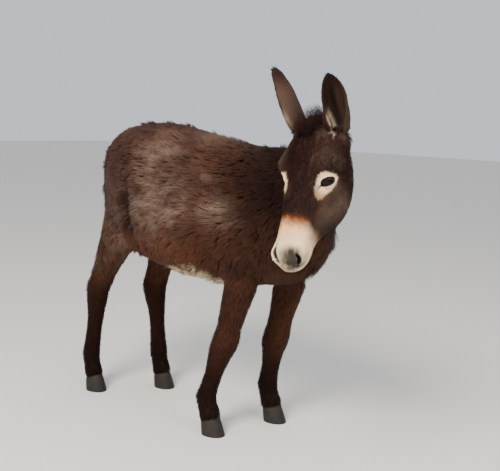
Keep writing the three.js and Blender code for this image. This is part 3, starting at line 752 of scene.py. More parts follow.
def with_ears(points, node):
    """The skin's points, with each ear's root wider and its tip blunter."""
    moved = points.copy()
    for side in SIDES:
        along, off, _, _, wide = ear_places(points, side)
        root, whole, tip, drawn = EAR_WIDER[side]
        wider = whole + root * eased(0.50 - along, 0, 0.35) + tip * eased(along, 0.78, 0.98)
        shift = (off @ wide * wider)[:, None] * wide
        moved += (node == f"ear_{side}")[:, None] * (shift @ HEAD_AXES.T)
        near = bell(along, -0.02, 0.13) * round_ear(off)
        moved += (drawn * near * eased(off @ wide, 0.0, 0.020))[:, None] * (wide @ HEAD_AXES.T)
    return moved


def at_ear_roots(points, kinds):
    """How near each point is to an ear's root, from 0 to 0.5."""
    near = np.zeros(len(points))
    for side in SIDES:
        along, off, _, _, _ = ear_places(points, side)
        near = np.maximum(near, bell(along, 0, 0.14) * round_ear(off))
    return 0.5 * near * np.isin(kinds, ("head", "ear", "neck"))


def with_lids(head):
    """The head's points, with the lids drawn over the eyeballs."""
    moved = head.copy()
    for side in SIDES:
        centre, out, _, _ = eye_frame(side)
        gap, across, off = eye_opening(moved, side)
        reach = lengths(off)
        near = (reach < 0.05) & (off @ out > -0.004)
        lid = EYE_RADIUS + LID
        deep, place, wide = LID_CREASE
        crease = deep * bell(gap, place, wide) * (across > 0)
        target = mixed(np.maximum(reach, lid), lid, eased(gap, 0.012, 0.002)) - crease
        target = np.where(gap <= 0, EYE_RADIUS - SUNK, target)
        outward = off / np.maximum(reach, 1e-6)[:, None]
        moved = np.where(near[:, None], centre + outward * target[:, None], moved)
    return moved


def with_nose(head, normals):
    """The head's points, with nostrils, the grooves at the eyes and a mouth line pressed in. The normals
    are in the head's frame too."""
    moved = head.copy()
    for side, way in SIDES.items():
        place, out = NOSTRILS[side][:2]
        rounds = nostril_round(head, side)[0]
        deep = NOSTRIL_DEEP * eased(rounds, 1.15, 0.55)
        rim = NOSTRIL_RIM * bell(rounds, 1.7, 0.5) * eased(way * (head[:, 1] - place[1]), -0.006, 0.004)
        moved += (rim - deep)[:, None] * unit(np.array(out))
        corner = EYE_GROOVE[0] * eased(from_groove(head, side), EYE_GROOVE[1], 0.0005)
        moved -= corner[:, None] * normals
    x, _, z = head.T
    line = z - mouth_height(x)
    on_lips = eased(x, MOUTH_CORNER - 0.012, MOUTH_CORNER + 0.012) * (z < -0.03)
    groove = MOUTH_GROOVE[0] * bell(line, 0, MOUTH_GROOVE[1])
    lips = sum(height * bell(line, place, wide) for height, place, wide in LIPS)
    return moved + ((groove + lips) * on_lips)[:, None] * normals


@functools.cache
def skin_shape():
    """The skin: its points, triangles and normals, the node each point belongs to, and its hair."""
    mesh = fused_flesh()
    for reach, nose in HALVED:
        head = to_head(arrays_of(mesh)[0])
        muzzle = (head[:, 0] > nose) & (np.abs(head[:, 1]) < MUZZLE_HALF)
        muzzle &= np.abs(head[:, 2] - MUZZLE_MIDDLE) < MUZZLE_HIGH
        eyes = np.minimum.reduce([from_eye(head, side) for side in SIDES]) < reach
        mesh = refined(mesh, eyes | muzzle)
    points, triangles = arrays_of(mesh)
    edges = edges_of(triangles)
    node = nearest_nodes(points)
    kinds = kinds_of(node)
    soft = np.select([kinds == "ear", kinds == "head"], SOFTNESS[:2], SOFTNESS[2])
    points = blurred(points, edges, SMOOTHING, blurred(soft, edges, SOFTNESS_ROUNDS))
    points = with_ears(points, node)
    points = with_forms(points, corner_normals(points, triangles), kinds)
    points = blurred(points, edges, ROOT_SMOOTHING, at_ear_roots(points, kinds))
    normals = corner_normals(points, triangles)
    fields = hair_fields(points, node)
    fields = {key: blurred(values, edges, HAIR_ROUNDS) for key, values in fields.items()}
    points = points - normals * blurred(fields["depth"], edges, DEPTH_ROUNDS)[:, None]
    sculpted = with_lids(with_nose(to_head(points), normals @ HEAD_AXES))
    points = np.where((kinds == "head")[:, None], from_head(sculpted), points)
    normals = corner_normals(points, triangles)
    return {"points": points, "triangles": triangles, "normals": normals, "node": node, **fields}


# ---------- Colour ----------
def linear(code):
    """An sRGB hex colour as the linear one that shaders take."""
    channels = [int(code[i : i + 2], 16) / 255 for i in (1, 3, 5)]
    return tuple(c / 12.92 if c <= 0.04045 else ((c + 0.055) / 1.055) ** 2.4 for c in channels)


def colour(title, text, code):
    value = linear(code)
    return FloatVectorProperty(name=title, description=text, subtype="COLOR", default=value, min=0, max=1)


def number(title, text, default, **limits):
    return FloatProperty(name=title, description=text, default=default, **limits)


class DonkeyColours(bpy.types.PropertyGroup):
    """The colours of the coat, skin, eyes and hooves."""

    brown: colour("Brown", "The coat's own brown, near the roots", "#2b170e")
    tips: colour("Tips", "The brown at the tips of the hair", "#492d22")
    # Tan also stands for painted light: the highlight along the top line, the sheen on the right brow and the
    # lit half of the ears' cups.
    tan: colour("Tan", "The faded hair of the flank and ribs", "#836b5c")
    # Dark also stands for painted shade: on the neck under the head, on the fore legs' backs, in the crease
    # before the haunch and inside the ears' cups.
    dark: colour("Dark", "The near black of the lower legs, breast and mane", "#1a0a06")
    rust: colour("Rust", "The red-brown edge of the pale markings", "#743b16")
    cream: colour("Cream", "The pale hair of the muzzle, eye rings and belly", "#ffe6c0")
    # Peach also warms the muzzle's left side, partly as painted shade.
    peach: colour("Peach", "The warm tint of the muzzle below its rust edge", "#f6b582")
    bare: colour("Bare skin", "The grey skin of the nostrils, lips and lids", "#312a23")
    iris: colour("Iris", "The dark brown of the eye", "#150a06")
    horn: colour("Horn", "The dark grey of the hooves", "#1c1714")
    floor: colour("Floor", "The plain pale floor", "#e6e1d8")


class DonkeyCoat(bpy.types.PropertyGroup):
    """How full the coat is, and how it lies."""

    fullness: number(
        "Fullness", "Tufts, as a share of the usual number", 1.0, min=0.05, max=1.2, subtype="FACTOR"
    )
    length: number(
        "Length", "Tuft length, as a share of the usual one", 1.0, min=0.3, max=1.6, subtype="FACTOR"
    )
    clump: number(
        "Clump", "The distance between locks on the trunk", 0.018, min=0.005, max=0.1, unit="LENGTH"
    )
    swirl: number(
        "Swirl", "How far the lie wanders on the trunk", math.radians(24), min=0, max=math.pi, subtype="ANGLE"
    )
    seed: IntProperty(name="Seed", description="Picks the arrangement of the tufts", default=7, min=0)


class DonkeyStage(bpy.types.PropertyGroup):
    """The camera, the lights and the floor."""

    lens: number("Lens", "The camera's focal length", 61.416, min=10, max=300, unit="CAMERA")
    place: FloatVectorProperty(
        name="Camera", description="Where the camera stands", default=(1.9614, -2.1290, 1.0860),
        subtype="TRANSLATION", unit="LENGTH",
    )
    floor: number("Floor", "The width of the floor", 40.0, min=1, unit="LENGTH")
    key: number("Key light", "The power of the large soft light in front", 300.0, min=0, unit="POWER")
    fill: number("Fill light", "The power of the light on the other side", 60.0, min=0, unit="POWER")
    sky: number("Sky", "The strength of the light from all round", 0.85, min=0)


# ---------- Materials ----------
MIX_FACTOR, MIX_A, MIX_B, MIX_RESULT = 0, 6, 7, 2  # the sockets of a colour Mix node
TONE_GAIN = 0.28  # how much lighter or darker a tone of 1 or -1 is
# Painted shade: a hair's root is drawn darker, for the shade deep in the coat.
ROOT_PAINTED_SHADE = 0.77  # how light a hair's root is, against its tip


def add_node(tree, kind, inputs=None, **settings):
    """Adds a node with its settings, and sets or links its inputs by name or number."""
    node = settled(tree.nodes.new(kind), **settings)
    for key, value in (inputs or {}).items():
        if isinstance(value, bpy.types.NodeSocket):
            tree.links.new(value, node.inputs[key])
        else:
            node.inputs[key].default_value = value
    return node


def new_material(name):
    material = bpy.data.materials.new(name)
    material.use_nodes = True
    material.node_tree.nodes.clear()
    return material, material.node_tree


def surfaced(tree, inputs):
    """The material's surface: a Principled shader with these inputs."""
    shader = add_node(tree, "ShaderNodeBsdfPrincipled", inputs)
    add_node(tree, "ShaderNodeOutputMaterial", {"Surface": shader.outputs[0]})


def solid(value):
    """A linear colour, or an sRGB hex one, with full alpha."""
    return (*(linear(value) if isinstance(value, str) else value), 1.0)


def stored(tree, name):
    return add_node(tree, "ShaderNodeAttribute", attribute_name=name).outputs["Fac"]


def blend(tree, factor, a, b):
    inputs = {MIX_FACTOR: factor, MIX_A: a, MIX_B: b}
    return add_node(tree, "ShaderNodeMix", inputs, data_type="RGBA").outputs[MIX_RESULT]


def scaled(tree, value, gain):
    return add_node(tree, "ShaderNodeVectorMath", {0: value, "Scale": gain}, operation="SCALE").outputs[0]


def ranged(tree, value, low, high, until=1.0):
    inputs = {"Value": value, "From Max": until, "To Min": low, "To Max": high}
    return add_node(tree, "ShaderNodeMapRange", inputs).outputs[0]


def grained(tree, scale, detail, **inputs):
    return add_node(tree, "ShaderNodeTexNoise", {"Scale": scale, "Detail": detail, **inputs}).outputs["Fac"]


def coat_colour(tree, ends):
    """The colour of hair or skin: the browns between its ends, and then each marking over them."""
    colours = bpy.context.scene.donkey_colours
    result = blend(tree, ends, solid(colours.brown), solid(colours.tips))
    warm = blend(tree, stored(tree, "flush"), solid(colours.cream), solid(colours.peach))
    for name in ("tan", "dark", "rust", "pale", "bare"):
        over_it = warm if name == "pale" else solid(getattr(colours, name))
        result = blend(tree, stored(tree, name), result, over_it)
    # The tone varies the coat at random, and is pulled far down where shade is painted into recesses.
    inputs = {0: stored(tree, "tone"), 1: TONE_GAIN, 2: 1.0}
    return scaled(tree, result, add_node(tree, "ShaderNodeMath", inputs, operation="MULTIPLY_ADD").outputs[0])


@functools.cache
def wool_material():
    """Donkey wool: long soft hair, darker at the root, partly its own browner colour and partly painted shade
    for the depth of the coat. Its fine ridges scatter light, which gives it a faint sheen and no clear
    highlight."""
    material, tree = new_material("donkey_wool")
    along = stored(tree, "along")
    # Painted shade: each hair is darkened towards its root.
    base = scaled(tree, coat_colour(tree, along), ranged(tree, along, ROOT_PAINTED_SHADE, 1.0, 0.5))
    surfaced(tree, {
        "Base Color": base, "Roughness": 0.72, "IOR": 1.55, "Specular IOR Level": 0.06,
        "Sheen Weight": 0.02, "Sheen Roughness": 0.5,
    })
    return material


@functools.cache
def hide_material():
    """The hide under the coat, with short flat hair on the face and bare grey skin at the nostrils, lips
    and lids. The short hair is a bump about 1.5 mm across, coarser than real hair so that it shows."""
    material, tree = new_material("donkey_hide")
    place = add_node(tree, "ShaderNodeTexCoord").outputs["Object"]
    grain = grained(tree, 650.0, 3.0, Vector=place, Roughness=0.6)
    # The hide takes the browns of the roots' end: partly the hair's own colour and partly painted shade under
    # the coat.
    base = coat_colour(tree, ranged(tree, grain, 0.0, 0.5))
    bump = add_node(tree, "ShaderNodeBump", {"Height": grain, "Strength": 0.5, "Distance": 0.0012})
    surfaced(tree, {
        "Base Color": base, "Roughness": 0.68, "IOR": 1.45, "Specular IOR Level": 0.2,
        "Normal": bump.outputs[0],
    })
    return material


@functools.cache
def eye_material():
    """A wet eye: a dark brown iris with a wide level pupil under a clear, very smooth cornea, which gives
    small sharp highlights. The white is hidden but for a grey-brown edge."""
    material, tree = new_material("wet_eye")
    rings = add_node(tree, "ShaderNodeValToRGB", {"Fac": stored(tree, "off_axis")})
    ramp = rings.color_ramp
    settled(ramp.elements[0], position=0.0, color=solid(bpy.context.scene.donkey_colours.iris))
    settled(ramp.elements[1], position=0.95, color=solid("#150e0b"))
    for position, code in ((0.52, "#24150f"), (0.60, "#0d0807"), (0.68, "#1d1511")):
        ramp.elements.new(position).color = solid(code)
    base = blend(tree, stored(tree, "pupil"), rings.outputs[0], solid("#050506"))
    surfaced(tree, {"Base Color": base, "Roughness": 0.05, "IOR": 1.376, "Specular IOR Level": 0.15})
    return material


@functools.cache
def horn_material():
    """Hoof horn: dark keratin in fine upright fibres, dull, dusty and paler in patches."""
    material, tree = new_material("hoof_horn")
    place = add_node(tree, "ShaderNodeTexCoord").outputs["Object"]
    drawn = add_node(tree, "ShaderNodeMapping", {"Vector": place, "Scale": (1.0, 1.0, 0.12)}).outputs[0]
    fibres = grained(tree, 420.0, 3.0, Vector=drawn)
    horn = solid(bpy.context.scene.donkey_colours.horn)
    base = blend(tree, grained(tree, 45.0, 2.0, Vector=place), horn, solid("#2e2722"))
    bump = add_node(tree, "ShaderNodeBump", {"Height": fibres, "Strength": 0.4, "Distance": 0.0008})
    surfaced(tree, {
        "Base Color": base, "Roughness": 0.6, "IOR": 1.55, "Specular IOR Level": 0.2,
        "Normal": bump.outputs[0],
    })
    return material


# ---------- Tufts ----------
ROOTED = 0.0015  # how far a tuft's root is under the skin
THICK = 0.4  # a tuft's thickness, as a share of its half width
TUFT_PATCH = 0.0015  # half a tuft's size on the unwrap
FACING = (0.80, 0.22, 0.10)  # how a tuft takes light: by the skin's normal, its own roundness and its lie
MOST_TRIANGLES = 200000
MOST_TONE = 1.7
LOCK_STRAY, HAIR_STRAY = 0.14, 0.08  # how far locks, and hairs in them, turn from their lie
PROUD, PROUD_MORE = 0.90, 0.7  # the locks above this share stand higher, by this much
PULL = 0.36  # how far a tip is drawn to its lock's
FARTHEST_PULL = 0.55  # what is drawn, at most, as a share of the length
LOCK_TIP = 1.05  # how long a lock is, against the hair at its middle
FINEST = 0.25  # the least distance between locks, against the trunk's
LOCK_LENGTHS, HAIR_LENGTHS = (0.85, 1.12), (0.8, 1.1)  # what locks, and hairs in them, vary between
RISES = (0.65, 1.05)  # how high hairs stand, as a share of the coat's depth
LOCK_TONE, HAIR_TONE = 0.30, 0.36  # how far locks, and hairs in them, vary in tone
BARE = (0.35, 0.9)  # on the bare markings, hair stops between these
BEND = (0.12, 0.004)  # how far tips bend aside: the lesser of this share of the length and this in metres
GIRTH = (0.75, 1.0, -1.5)  # a tuft's width along it: at the root, and how it changes
# The unwrap: how far the head goes back and how long it is, and how far its middle line lies below.
HEAD_BACK, HEAD_LONG, HEAD_BELOW = 0.06, 0.51, 0.10
TRUNK_LINE = 0.77  # the height of the trunk's middle line
NECK_LINE = np.array([0.24, CENTRE_Y, 0.80]), HEAD_PLACE - np.array([0, 0, 0.07])
LEVELS = 9  # where the middle of a limb is found
TURN_EDGE, ALONG_EDGE = 0.01, 0.005  # the margins of a part's place on the unwrap
# The parts that each crest stands on, how tall it is, and the distance between its locks.
CRESTS = {"mane": (["neck", "trunk", "head"], 0.028, 0.016), "forelock": (["head", "neck"], 0.042, 0.012)}
CREST_REACH = 0.012  # how far from its solid a crest's roots may be
CREST_LEAN, CREST_SPREAD = 0.25, 0.13  # how far a crest's hair leans along its lie, and strays
CREST_HEIGHTS = (0.7, 1.05)  # what its height varies between
TAIL_TOP = 0.70  # the height that the tail's loose hair starts below
TAIL_ENDS = (0.39, 0.50)  # the heights between which that hair ends
TAIL_RISES = (0.002, 0.014)  # how far it stands off
TAIL_OUT, TAIL_SPREAD = 0.03, 0.022  # how far it leans outward, and strays


def roots_on(skin, chosen, crowd, draw):
    """Roots spread over the chosen triangles: which triangle each is on, and its three weights there."""
    triangles = skin["triangles"]
    a, b, c = (skin["points"][triangles[:, k]] for k in range(3))
    area = lengths(np.cross(b - a, c - a)) / 2
    share = area * crowd[triangles].mean(axis=1) * chosen[triangles].mean(axis=1)
    total = np.cumsum(share)
    count = int(total[-1])
    places = (np.arange(count) + draw.uniform(0, 1, count)) * total[-1] / count
    on = np.minimum(np.searchsorted(total, places), len(triangles) - 1)
    u, v = draw.uniform(0, 1, (2, count))
    far = u + v > 1
    u, v = np.where(far, 1 - u, u), np.where(far, 1 - v, v)
    return on, np.stack([1 - u - v, u, v], axis=1)


def tuft_triangles(rows):
    """The faces of one tuft: three sided rings, a closed root and a point."""
    faces = [(0, 2, 1)]
    for row in range(rows - 1):
        for k in range(3):
            a, b = 3 * row + k, 3 * row + (k + 1) % 3
            faces += [(a, b, a + 3), (b, b + 3, a + 3)]
    last = 3 * rows - 3
    faces += [(last + k, last + (k + 1) % 3, 3 * rows) for k in range(3)]
    return np.array(faces)


def tuft_mesh(name, hair, rows):
    """One mesh of tufts. hair holds, for each of them, its root, normal, lie, length, width, rise, pull and
    bend, its markings, and its place on the unwrapped skin."""
    root, normal, lie = hair["root"], hair["normal"], hair["lie"]
    side = np.cross(normal, lie)
    count = len(root)
    length, width, rise, bend = (hair[key][:, None] for key in ("length", "width", "rise", "bend"))
    rings, along, flat = [], [], []
    for t in np.arange(rows + 1) / rows:
        centre = root + lie * length * t + normal * (rise * (1 - (1 - t) ** 2) - ROOTED * (1 - t))
        centre = centre + side * bend * length * t * t + hair["pull"] * t**1.5
        half = width / 2 * (GIRTH[0] + GIRTH[1] * t + GIRTH[2] * t * t)
        ring = [centre + side * half, centre + normal * half * THICK, centre - side * half]
        if t < 1:
            flat += [(-1, 2 * t - 1), (0, 2 * t - 1), (1, 2 * t - 1)]
        else:
            ring = [centre]
            flat.append((0, 1))
        rings += ring
        along += [t] * len(ring)
    points = np.stack(rings, axis=1)
    per = points.shape[1]
    triangles = (tuft_triangles(rows)[None] + per * np.arange(count)[:, None, None]).reshape(-1, 3)
    if len(triangles) >= MOST_TRIANGLES:
        raise RuntimeError(f"{name} has {len(triangles)} triangles, and {MOST_TRIANGLES} are too many")
    mesh = mesh_of(name, points.reshape(-1, 3), triangles)
    spread = unit(points - points.mean(axis=1, keepdims=True))
    facing = unit(FACING[0] * normal[:, None] + FACING[1] * spread + FACING[2] * lie[:, None])
    mesh.normals_split_custom_set_from_vertices(facing.reshape(-1, 3))
    set_values(mesh, {"along": np.tile(along, count)})
    set_values(mesh, {key: np.repeat(values, per) for key, values in hair["marks"].items()})
    patch = hair["unwrap"][:, None] + TUFT_PATCH * np.array(flat, float)[None]
    layer = mesh.uv_layers.new(name="OFBake")
    layer.data.foreach_set("uv", patch.reshape(-1, 2)[triangles.ravel()].ravel().astype(np.float32))
    return mesh


def around(points, name):
    """How far along a part of the animal each point is, from 0 to 1, and its two ways off the middle."""
    x, y, z = points.T
    low, high = (np.array(corner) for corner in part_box(name))
    kind, *rest = name.split("_")
    if kind == "head":
        x, y, z = to_head(points).T
        return (x + HEAD_BACK) / HEAD_LONG, y, z + HEAD_BELOW
    if kind == "ear":
        along, off, axis, opening, _ = ear_places(points, *rest)
        return along, off @ np.cross(axis, opening), off @ opening
    if kind == "trunk":
        return (x - low[0]) / (high[0] - low[0]), y - CENTRE_Y, z - TRUNK_LINE
    if kind == "neck":
        start, end = NECK_LINE
        axis = end - start
        along = (points - start) @ axis / (axis @ axis)
        off = points - start - along[:, None] * axis
        across = unit(np.cross(axis, [0, 0, 1.0]))
        return along, off @ across, off @ np.cross(unit(axis), across)
    corners, _ = arrays_of(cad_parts[name].data)
    levels = np.linspace(low[2], high[2], LEVELS)
    reach = (high[2] - low[2]) / (LEVELS - 1)
    mids = np.array([corners[np.abs(corners[:, 2] - level) < reach].mean(axis=0) for level in levels])
    mid_x, mid_y = (np.interp(z, levels, mids[:, k]) for k in (0, 1))
    return (z - low[2]) / (high[2] - low[2]), x - mid_x, y - mid_y


def unwrapped(points, node, columns):
    """Places on an unwrap of the skin: along each part and round it, with the parts side by side."""
    places = np.zeros((len(points), 2))
    for column, name in enumerate(columns):
        mine = node == name
        if mine.any():
            along, a, b = around(points[mine], name)
            turn = np.arctan2(a, b) / (2 * math.pi) + 0.5
            places[mine, 0] = (column + np.clip(turn, TURN_EDGE, 1 - TURN_EDGE)) / len(columns)
            places[mine, 1] = np.clip(along, ALONG_EDGE, 1 - ALONG_EDGE)
    return places


def hairs_on(skin, chosen, crowd, draw, clump, change):
    """Hairs on the chosen part of the skin, gathered into locks, and the node that each is on."""
    coat = bpy.context.scene.donkey_coat
    triangles = skin["triangles"]
    on, weights = roots_on(skin, chosen, crowd, draw)

    def at_roots(values):
        return np.einsum("nk,nk...->n...", weights, values[triangles[on]])

    root = at_roots(skin["points"])
    normal = unit(at_roots(skin["normals"]))
    node = skin["node"][triangles[on, 0]]
    length, unrest = at_roots(skin["length"]), at_roots(skin["unrest"])
    count = len(root)
    swirl = coat.swirl * unrest * (noise(root, 0.13, 11) + 0.7 * noise(root, 0.05, 12))
    lie = turned(unit(flattened(at_roots(skin["lie"]), normal)), normal, swirl)

    # One hair in so many is a lock's seed, and every hair belongs to the seed it is nearest to.
    spacing = clump * np.clip(length / LONGEST, FINEST, 1.0)
    seeds = draw.uniform(0, 1, count) < 1 / np.maximum(at_roots(crowd) * spacing**2, 1)
    seeds = np.flatnonzero(seeds)
    locks = len(seeds)
    tree = KDTree(locks)
    for k, place in enumerate(root[seeds].tolist()):
        tree.insert(place, k)
    tree.balance()
    lock = np.array([tree.find(place)[1] for place in root.tolist()])
    stray = draw.normal(0, 1, locks)
    stretch = draw.uniform(*LOCK_LENGTHS, locks)[lock]
    lie = turned(lie, normal, LOCK_STRAY * unrest * stray[lock] + HAIR_STRAY * draw.normal(0, 1, count))
    length = length * stretch * draw.uniform(*HAIR_LENGTHS, count) * coat.length
    proud = 1 + PROUD_MORE * (draw.uniform(0, 1, locks)[lock] > PROUD) * eased(unrest, 0.5, 0.9)
    rise = at_roots(skin["depth"]) * draw.uniform(*RISES, count) * proud
    if change is not None:
        lie, length, rise = change(root, normal, lie, length, rise, draw)
        lie = unit(lie)

    # Each hair's tip is pulled some of the way to the tip of its lock.
    tips = root + lie * length[:, None]
    seeds = seeds[lock]
    goal = root[seeds] + lie[seeds] * length[seeds][:, None] * LOCK_TIP
    pull = flattened(goal - tips, normal)
    far = np.linalg.norm(pull, axis=1, keepdims=True)
    pull *= PULL * np.minimum(1, (FARTHEST_PULL * length)[:, None] / np.maximum(far, 1e-6))
    marks = markings(root, normal, node)
    own = LOCK_TONE * draw.normal(0, 1, locks)[lock] + HAIR_TONE * draw.normal(0, 1, count)
    marks["tone"] = np.clip(marks["tone"] + own, -MOST_TONE, MOST_TONE)
    keep = marks["bare"] < draw.uniform(*BARE, count)
    bend = np.minimum(BEND[0], BEND[1] / length) * draw.normal(0, 1, count)
    hair = {
        "root": root, "normal": normal, "lie": lie, "length": length, "width": at_roots(skin["width"]),
        "rise": rise, "pull": pull, "bend": bend,
    }
    hair = {key: values[keep] for key, values in hair.items()}
    hair["marks"] = {key: values[keep] for key, values in marks.items()}
    return hair, node[keep]


def grown(name, parts, where=None, replaced=(), rows=2, clump=None, change=None, crowding=1.0):
    """A piece of coat on the named parts of the skin, and only where a test of the points holds."""
    skin = skin_shape()
    coat = bpy.context.scene.donkey_coat
    draw = np.random.default_rng(coat.seed + sum(map(ord, name)))
    chosen = np.isin(skin["node"], parts).astype(float)
    if where is not None:
        chosen *= where(skin["points"])
    crowd = skin["crowd"] * coat.fullness * crowding
    hair, node = hairs_on(skin, chosen, crowd, draw, clump or coat.clump, change)
    hair["unwrap"] = unwrapped(hair["root"], node, parts)
    placed(name, tuft_mesh(name, hair, rows), wool_material(), "coat", *replaced)


def near_node(name, reach):
    """A test: how surely a point is within reach of a node's solid."""
    tree, _ = solids_tree([name])
    low, high = (np.array(corner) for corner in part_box(name))

    def test(points):
        close = np.zeros(len(points))
        inside = ((points > low - reach) & (points < high + reach)).all(axis=1)
        for k in np.flatnonzero(inside):
            point = Vector(points[k])
            place, normal, _, away = tree.find_nearest(point, reach * 3)
            if place is not None:
                close[k] = 1.0 if (point - place).dot(normal) < 0 else max(0.0, 1 - away / reach)
        return close

    return test


def standing(height):
    """A change that stands hair up, about this tall."""

    def change(root, normal, lie, length, rise, draw):
        up = normal + CREST_LEAN * lie + CREST_SPREAD * draw.normal(0, 1, root.shape)
        return unit(up), height * draw.uniform(*CREST_HEIGHTS, len(root)), rise * 0

    return change


def hanging(root, normal, lie, length, rise, draw):
    """A change that hangs hair down to a ragged edge."""
    down = np.array([0, 0, -1.0]) + TAIL_OUT * normal + TAIL_SPREAD * draw.normal(0, 1, root.shape)
    reach = root[:, 2] - draw.uniform(*TAIL_ENDS, len(root))
    return unit(down), reach, draw.uniform(*TAIL_RISES, len(root))


# ---------- Skin, eyes and hooves ----------
PUPIL = (0.0068, 0.0036)  # half its length and height
CORNEA = (0.0012, 0.72)  # how far it bulges, and from where on the eyeball's axis
RING_SPACING = 0.0055  # between the growth rings of a hoof
RING_HIGH = 0.00035
RING_TILT = 0.22  # how much lower the rings are at the toe, for each metre forward
ANY_ANGLE = 3.2  # faces at any angle are joined
SOLE, SOLE_DOWN = 0.0005, -0.9  # the sole's corners are below this, and its faces point down more than this


def make_skin():
    skin = skin_shape()
    mesh = mesh_of("skin", skin["points"], skin["triangles"])
    set_values(mesh, markings(skin["points"], skin["normals"], skin["node"]))
    placed("skin", mesh, hide_material(), "coat", *FLESH)


def make_eye(side):
    """An eyeball with a bulging cornea, a wide level pupil and an iris."""
    centre, out, down, _ = eye_frame(side)
    work = bmesh.new()
    bmesh.ops.create_uvsphere(work, u_segments=64, v_segments=48, radius=EYE_RADIUS)
    axes = np.stack([unit(np.cross(down, out)), -down, out], axis=1)
    points = np.array([corner.co for corner in work.verts])
    in_front = points[:, 2] > 0
    bulge = CORNEA[0] * eased(points[:, 2], EYE_RADIUS * CORNEA[1], EYE_RADIUS)
    off_axis = np.where(in_front, lengths(points[:, :2]) / EYE_RADIUS, 1.0)
    pupil = np.hypot(points[:, 0] / PUPIL[0], points[:, 1] / PUPIL[1])
    pupil = np.where(in_front, eased(pupil, 1.15, 0.9), 0)
    points = unit(points) * (EYE_RADIUS + bulge)[:, None]
    for corner, place in zip(work.verts, from_head(centre + points @ axes.T)):
        corner.co = place
    mesh = finished(work, f"eyeball_{side}")
    mesh.shade_smooth()
    set_values(mesh, {"off_axis": off_axis, "pupil": pupil})
    placed(f"eyeball_{side}", mesh, eye_material(), "eye", f"eye_{side}")


def make_hoof(leg):
    """A smooth hoof over its solid, with growth rings and a crisp sole."""
    work = bmesh.new()
    work.from_mesh(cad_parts[f"hoof_{leg}"].data)
    bmesh.ops.remove_doubles(work, verts=work.verts, dist=WELD)
    angles = {"angle_face_threshold": ANY_ANGLE, "angle_shape_threshold": ANY_ANGLE}
    bmesh.ops.join_triangles(work, faces=work.faces, **angles)
    crease = work.edges.layers.float.new("crease_edge")
    for edge in work.edges:
        low = all(corner.co.z < SOLE for corner in edge.verts)
        if low and any(face.normal.z > SOLE_DOWN for face in edge.link_faces):
            edge[crease] = 1.0
    mesh = changed(finished(work, "hoof"), ("SUBSURF", {"levels": 4}), ("TRIANGULATE", {}))
    mesh.name = f"hoof_shell_{leg}"
    points, triangles = arrays_of(mesh)
    normals = corner_normals(points, triangles)
    level = points[:, 2] + RING_TILT * (points[:, 0] - points[:, 0].mean())
    rings = RING_HIGH * np.sin(2 * math.pi * level / RING_SPACING + 2 * noise(points, 0.03, 31))
    standing_part = eased(points[:, 2], 0.001, 0.006) * (1 - np.abs(normals[:, 2]))
    points += normals * (rings * standing_part)[:, None]
    points[:, 2] = np.maximum(points[:, 2], 0)
    mesh.vertices.foreach_set("co", points.ravel().astype(np.float32))
    mesh.update()
    mesh.shade_smooth()
    placed(f"hoof_shell_{leg}", mesh, horn_material(), "hoof", f"hoof_{leg}")


# ---------- Stage ----------
CAMERA_TURN = [math.radians(degrees) for degrees in (130, 8.2, -2.0)]  # yaw, pitch down and roll
LIT = (0, 0, 0.7)  # what the lights point at
SKY_TINT = (0.87, 0.92, 1.0, 1.0)
# Each light's place, how wide it is, and its tint.
LIGHTS = {
    "key": ((0.7, -3.3, 3.6), 2.0, (1.0, 0.96, 0.9)),
    "fill": ((3.4, -0.6, 2.4), 2.4, (0.92, 0.95, 1.0)),
}


def camera_matrix(place):
    yaw, pitch, roll = CAMERA_TURN
    level = math.cos(pitch)
    forward = Vector((math.cos(yaw) * level, math.sin(yaw) * level, -math.sin(pitch)))
    right = Vector((math.sin(yaw), -math.cos(yaw), 0))
    down = forward.cross(right)
    tipped = math.cos(roll) * right + math.sin(roll) * down
    down = -math.sin(roll) * right + math.cos(roll) * down
    turn = Matrix((tipped, -down, -forward)).transposed()
    return Matrix.Translation(place) @ turn.to_4x4()


def area_light(name, power):
    place, size, tint = LIGHTS[name]
    light = bpy.data.lights.new(name, "AREA")
    settled(light, shape="DISK", size=size, energy=power, color=tint)
    turn = (Vector(LIT) - Vector(place)).to_track_quat("-Z", "Y").to_euler()
    settled(added(name, light), location=place, rotation_euler=turn, visible_camera=False)


def make_stage():
    stage = bpy.context.scene.donkey_stage
    camera = settled(bpy.data.cameras.new("camera"), lens=stage.lens, sensor_width=36.0, clip_end=100.0)
    holder = settled(added("camera", camera), matrix_world=camera_matrix(Vector(stage.place)))
    bpy.context.scene.camera = holder

    material, tree = new_material("matt_floor_paint")
    base = solid(bpy.context.scene.donkey_colours.floor)
    rough = ranged(tree, grained(tree, 60.0, 4.0), 0.8, 0.9)
    surfaced(tree, {"Base Color": base, "Roughness": rough, "Specular IOR Level": 0.2})
    half = stage.floor / 2
    corners = np.array([[-half, -half, 0], [half, -half, 0], [half, half, 0], [-half, half, 0]])
    mesh = mesh_of("floor", corners, np.array([[0, 1, 2], [0, 2, 3]]))
    mesh.materials.append(material)
    added("floor", mesh)

    world = bpy.data.worlds.new("soft_sky")
    world.use_nodes = True
    background = world.node_tree.nodes["Background"]
    background.inputs["Color"].default_value = SKY_TINT
    background.inputs["Strength"].default_value = stage.sky
    bpy.context.scene.world = world
    for name in LIGHTS:
        area_light(name, getattr(stage, name))


# ---------- Operators, panel and main ----------
class DONKEY_OT_stage(bpy.types.Operator):
    """Sets up the floor, the lights and the camera"""

    bl_idname = "donkey.stage"
    bl_label = "Stage"

    def execute(self, context):
        make_stage()
        return {"FINISHED"}


class DONKEY_OT_skin(bpy.types.Operator):
    """Makes the skin, with its lids, nostrils and lips"""

    bl_idname = "donkey.skin"
    bl_label = "Skin"

    def execute(self, context):
        make_skin()
        return {"FINISHED"}


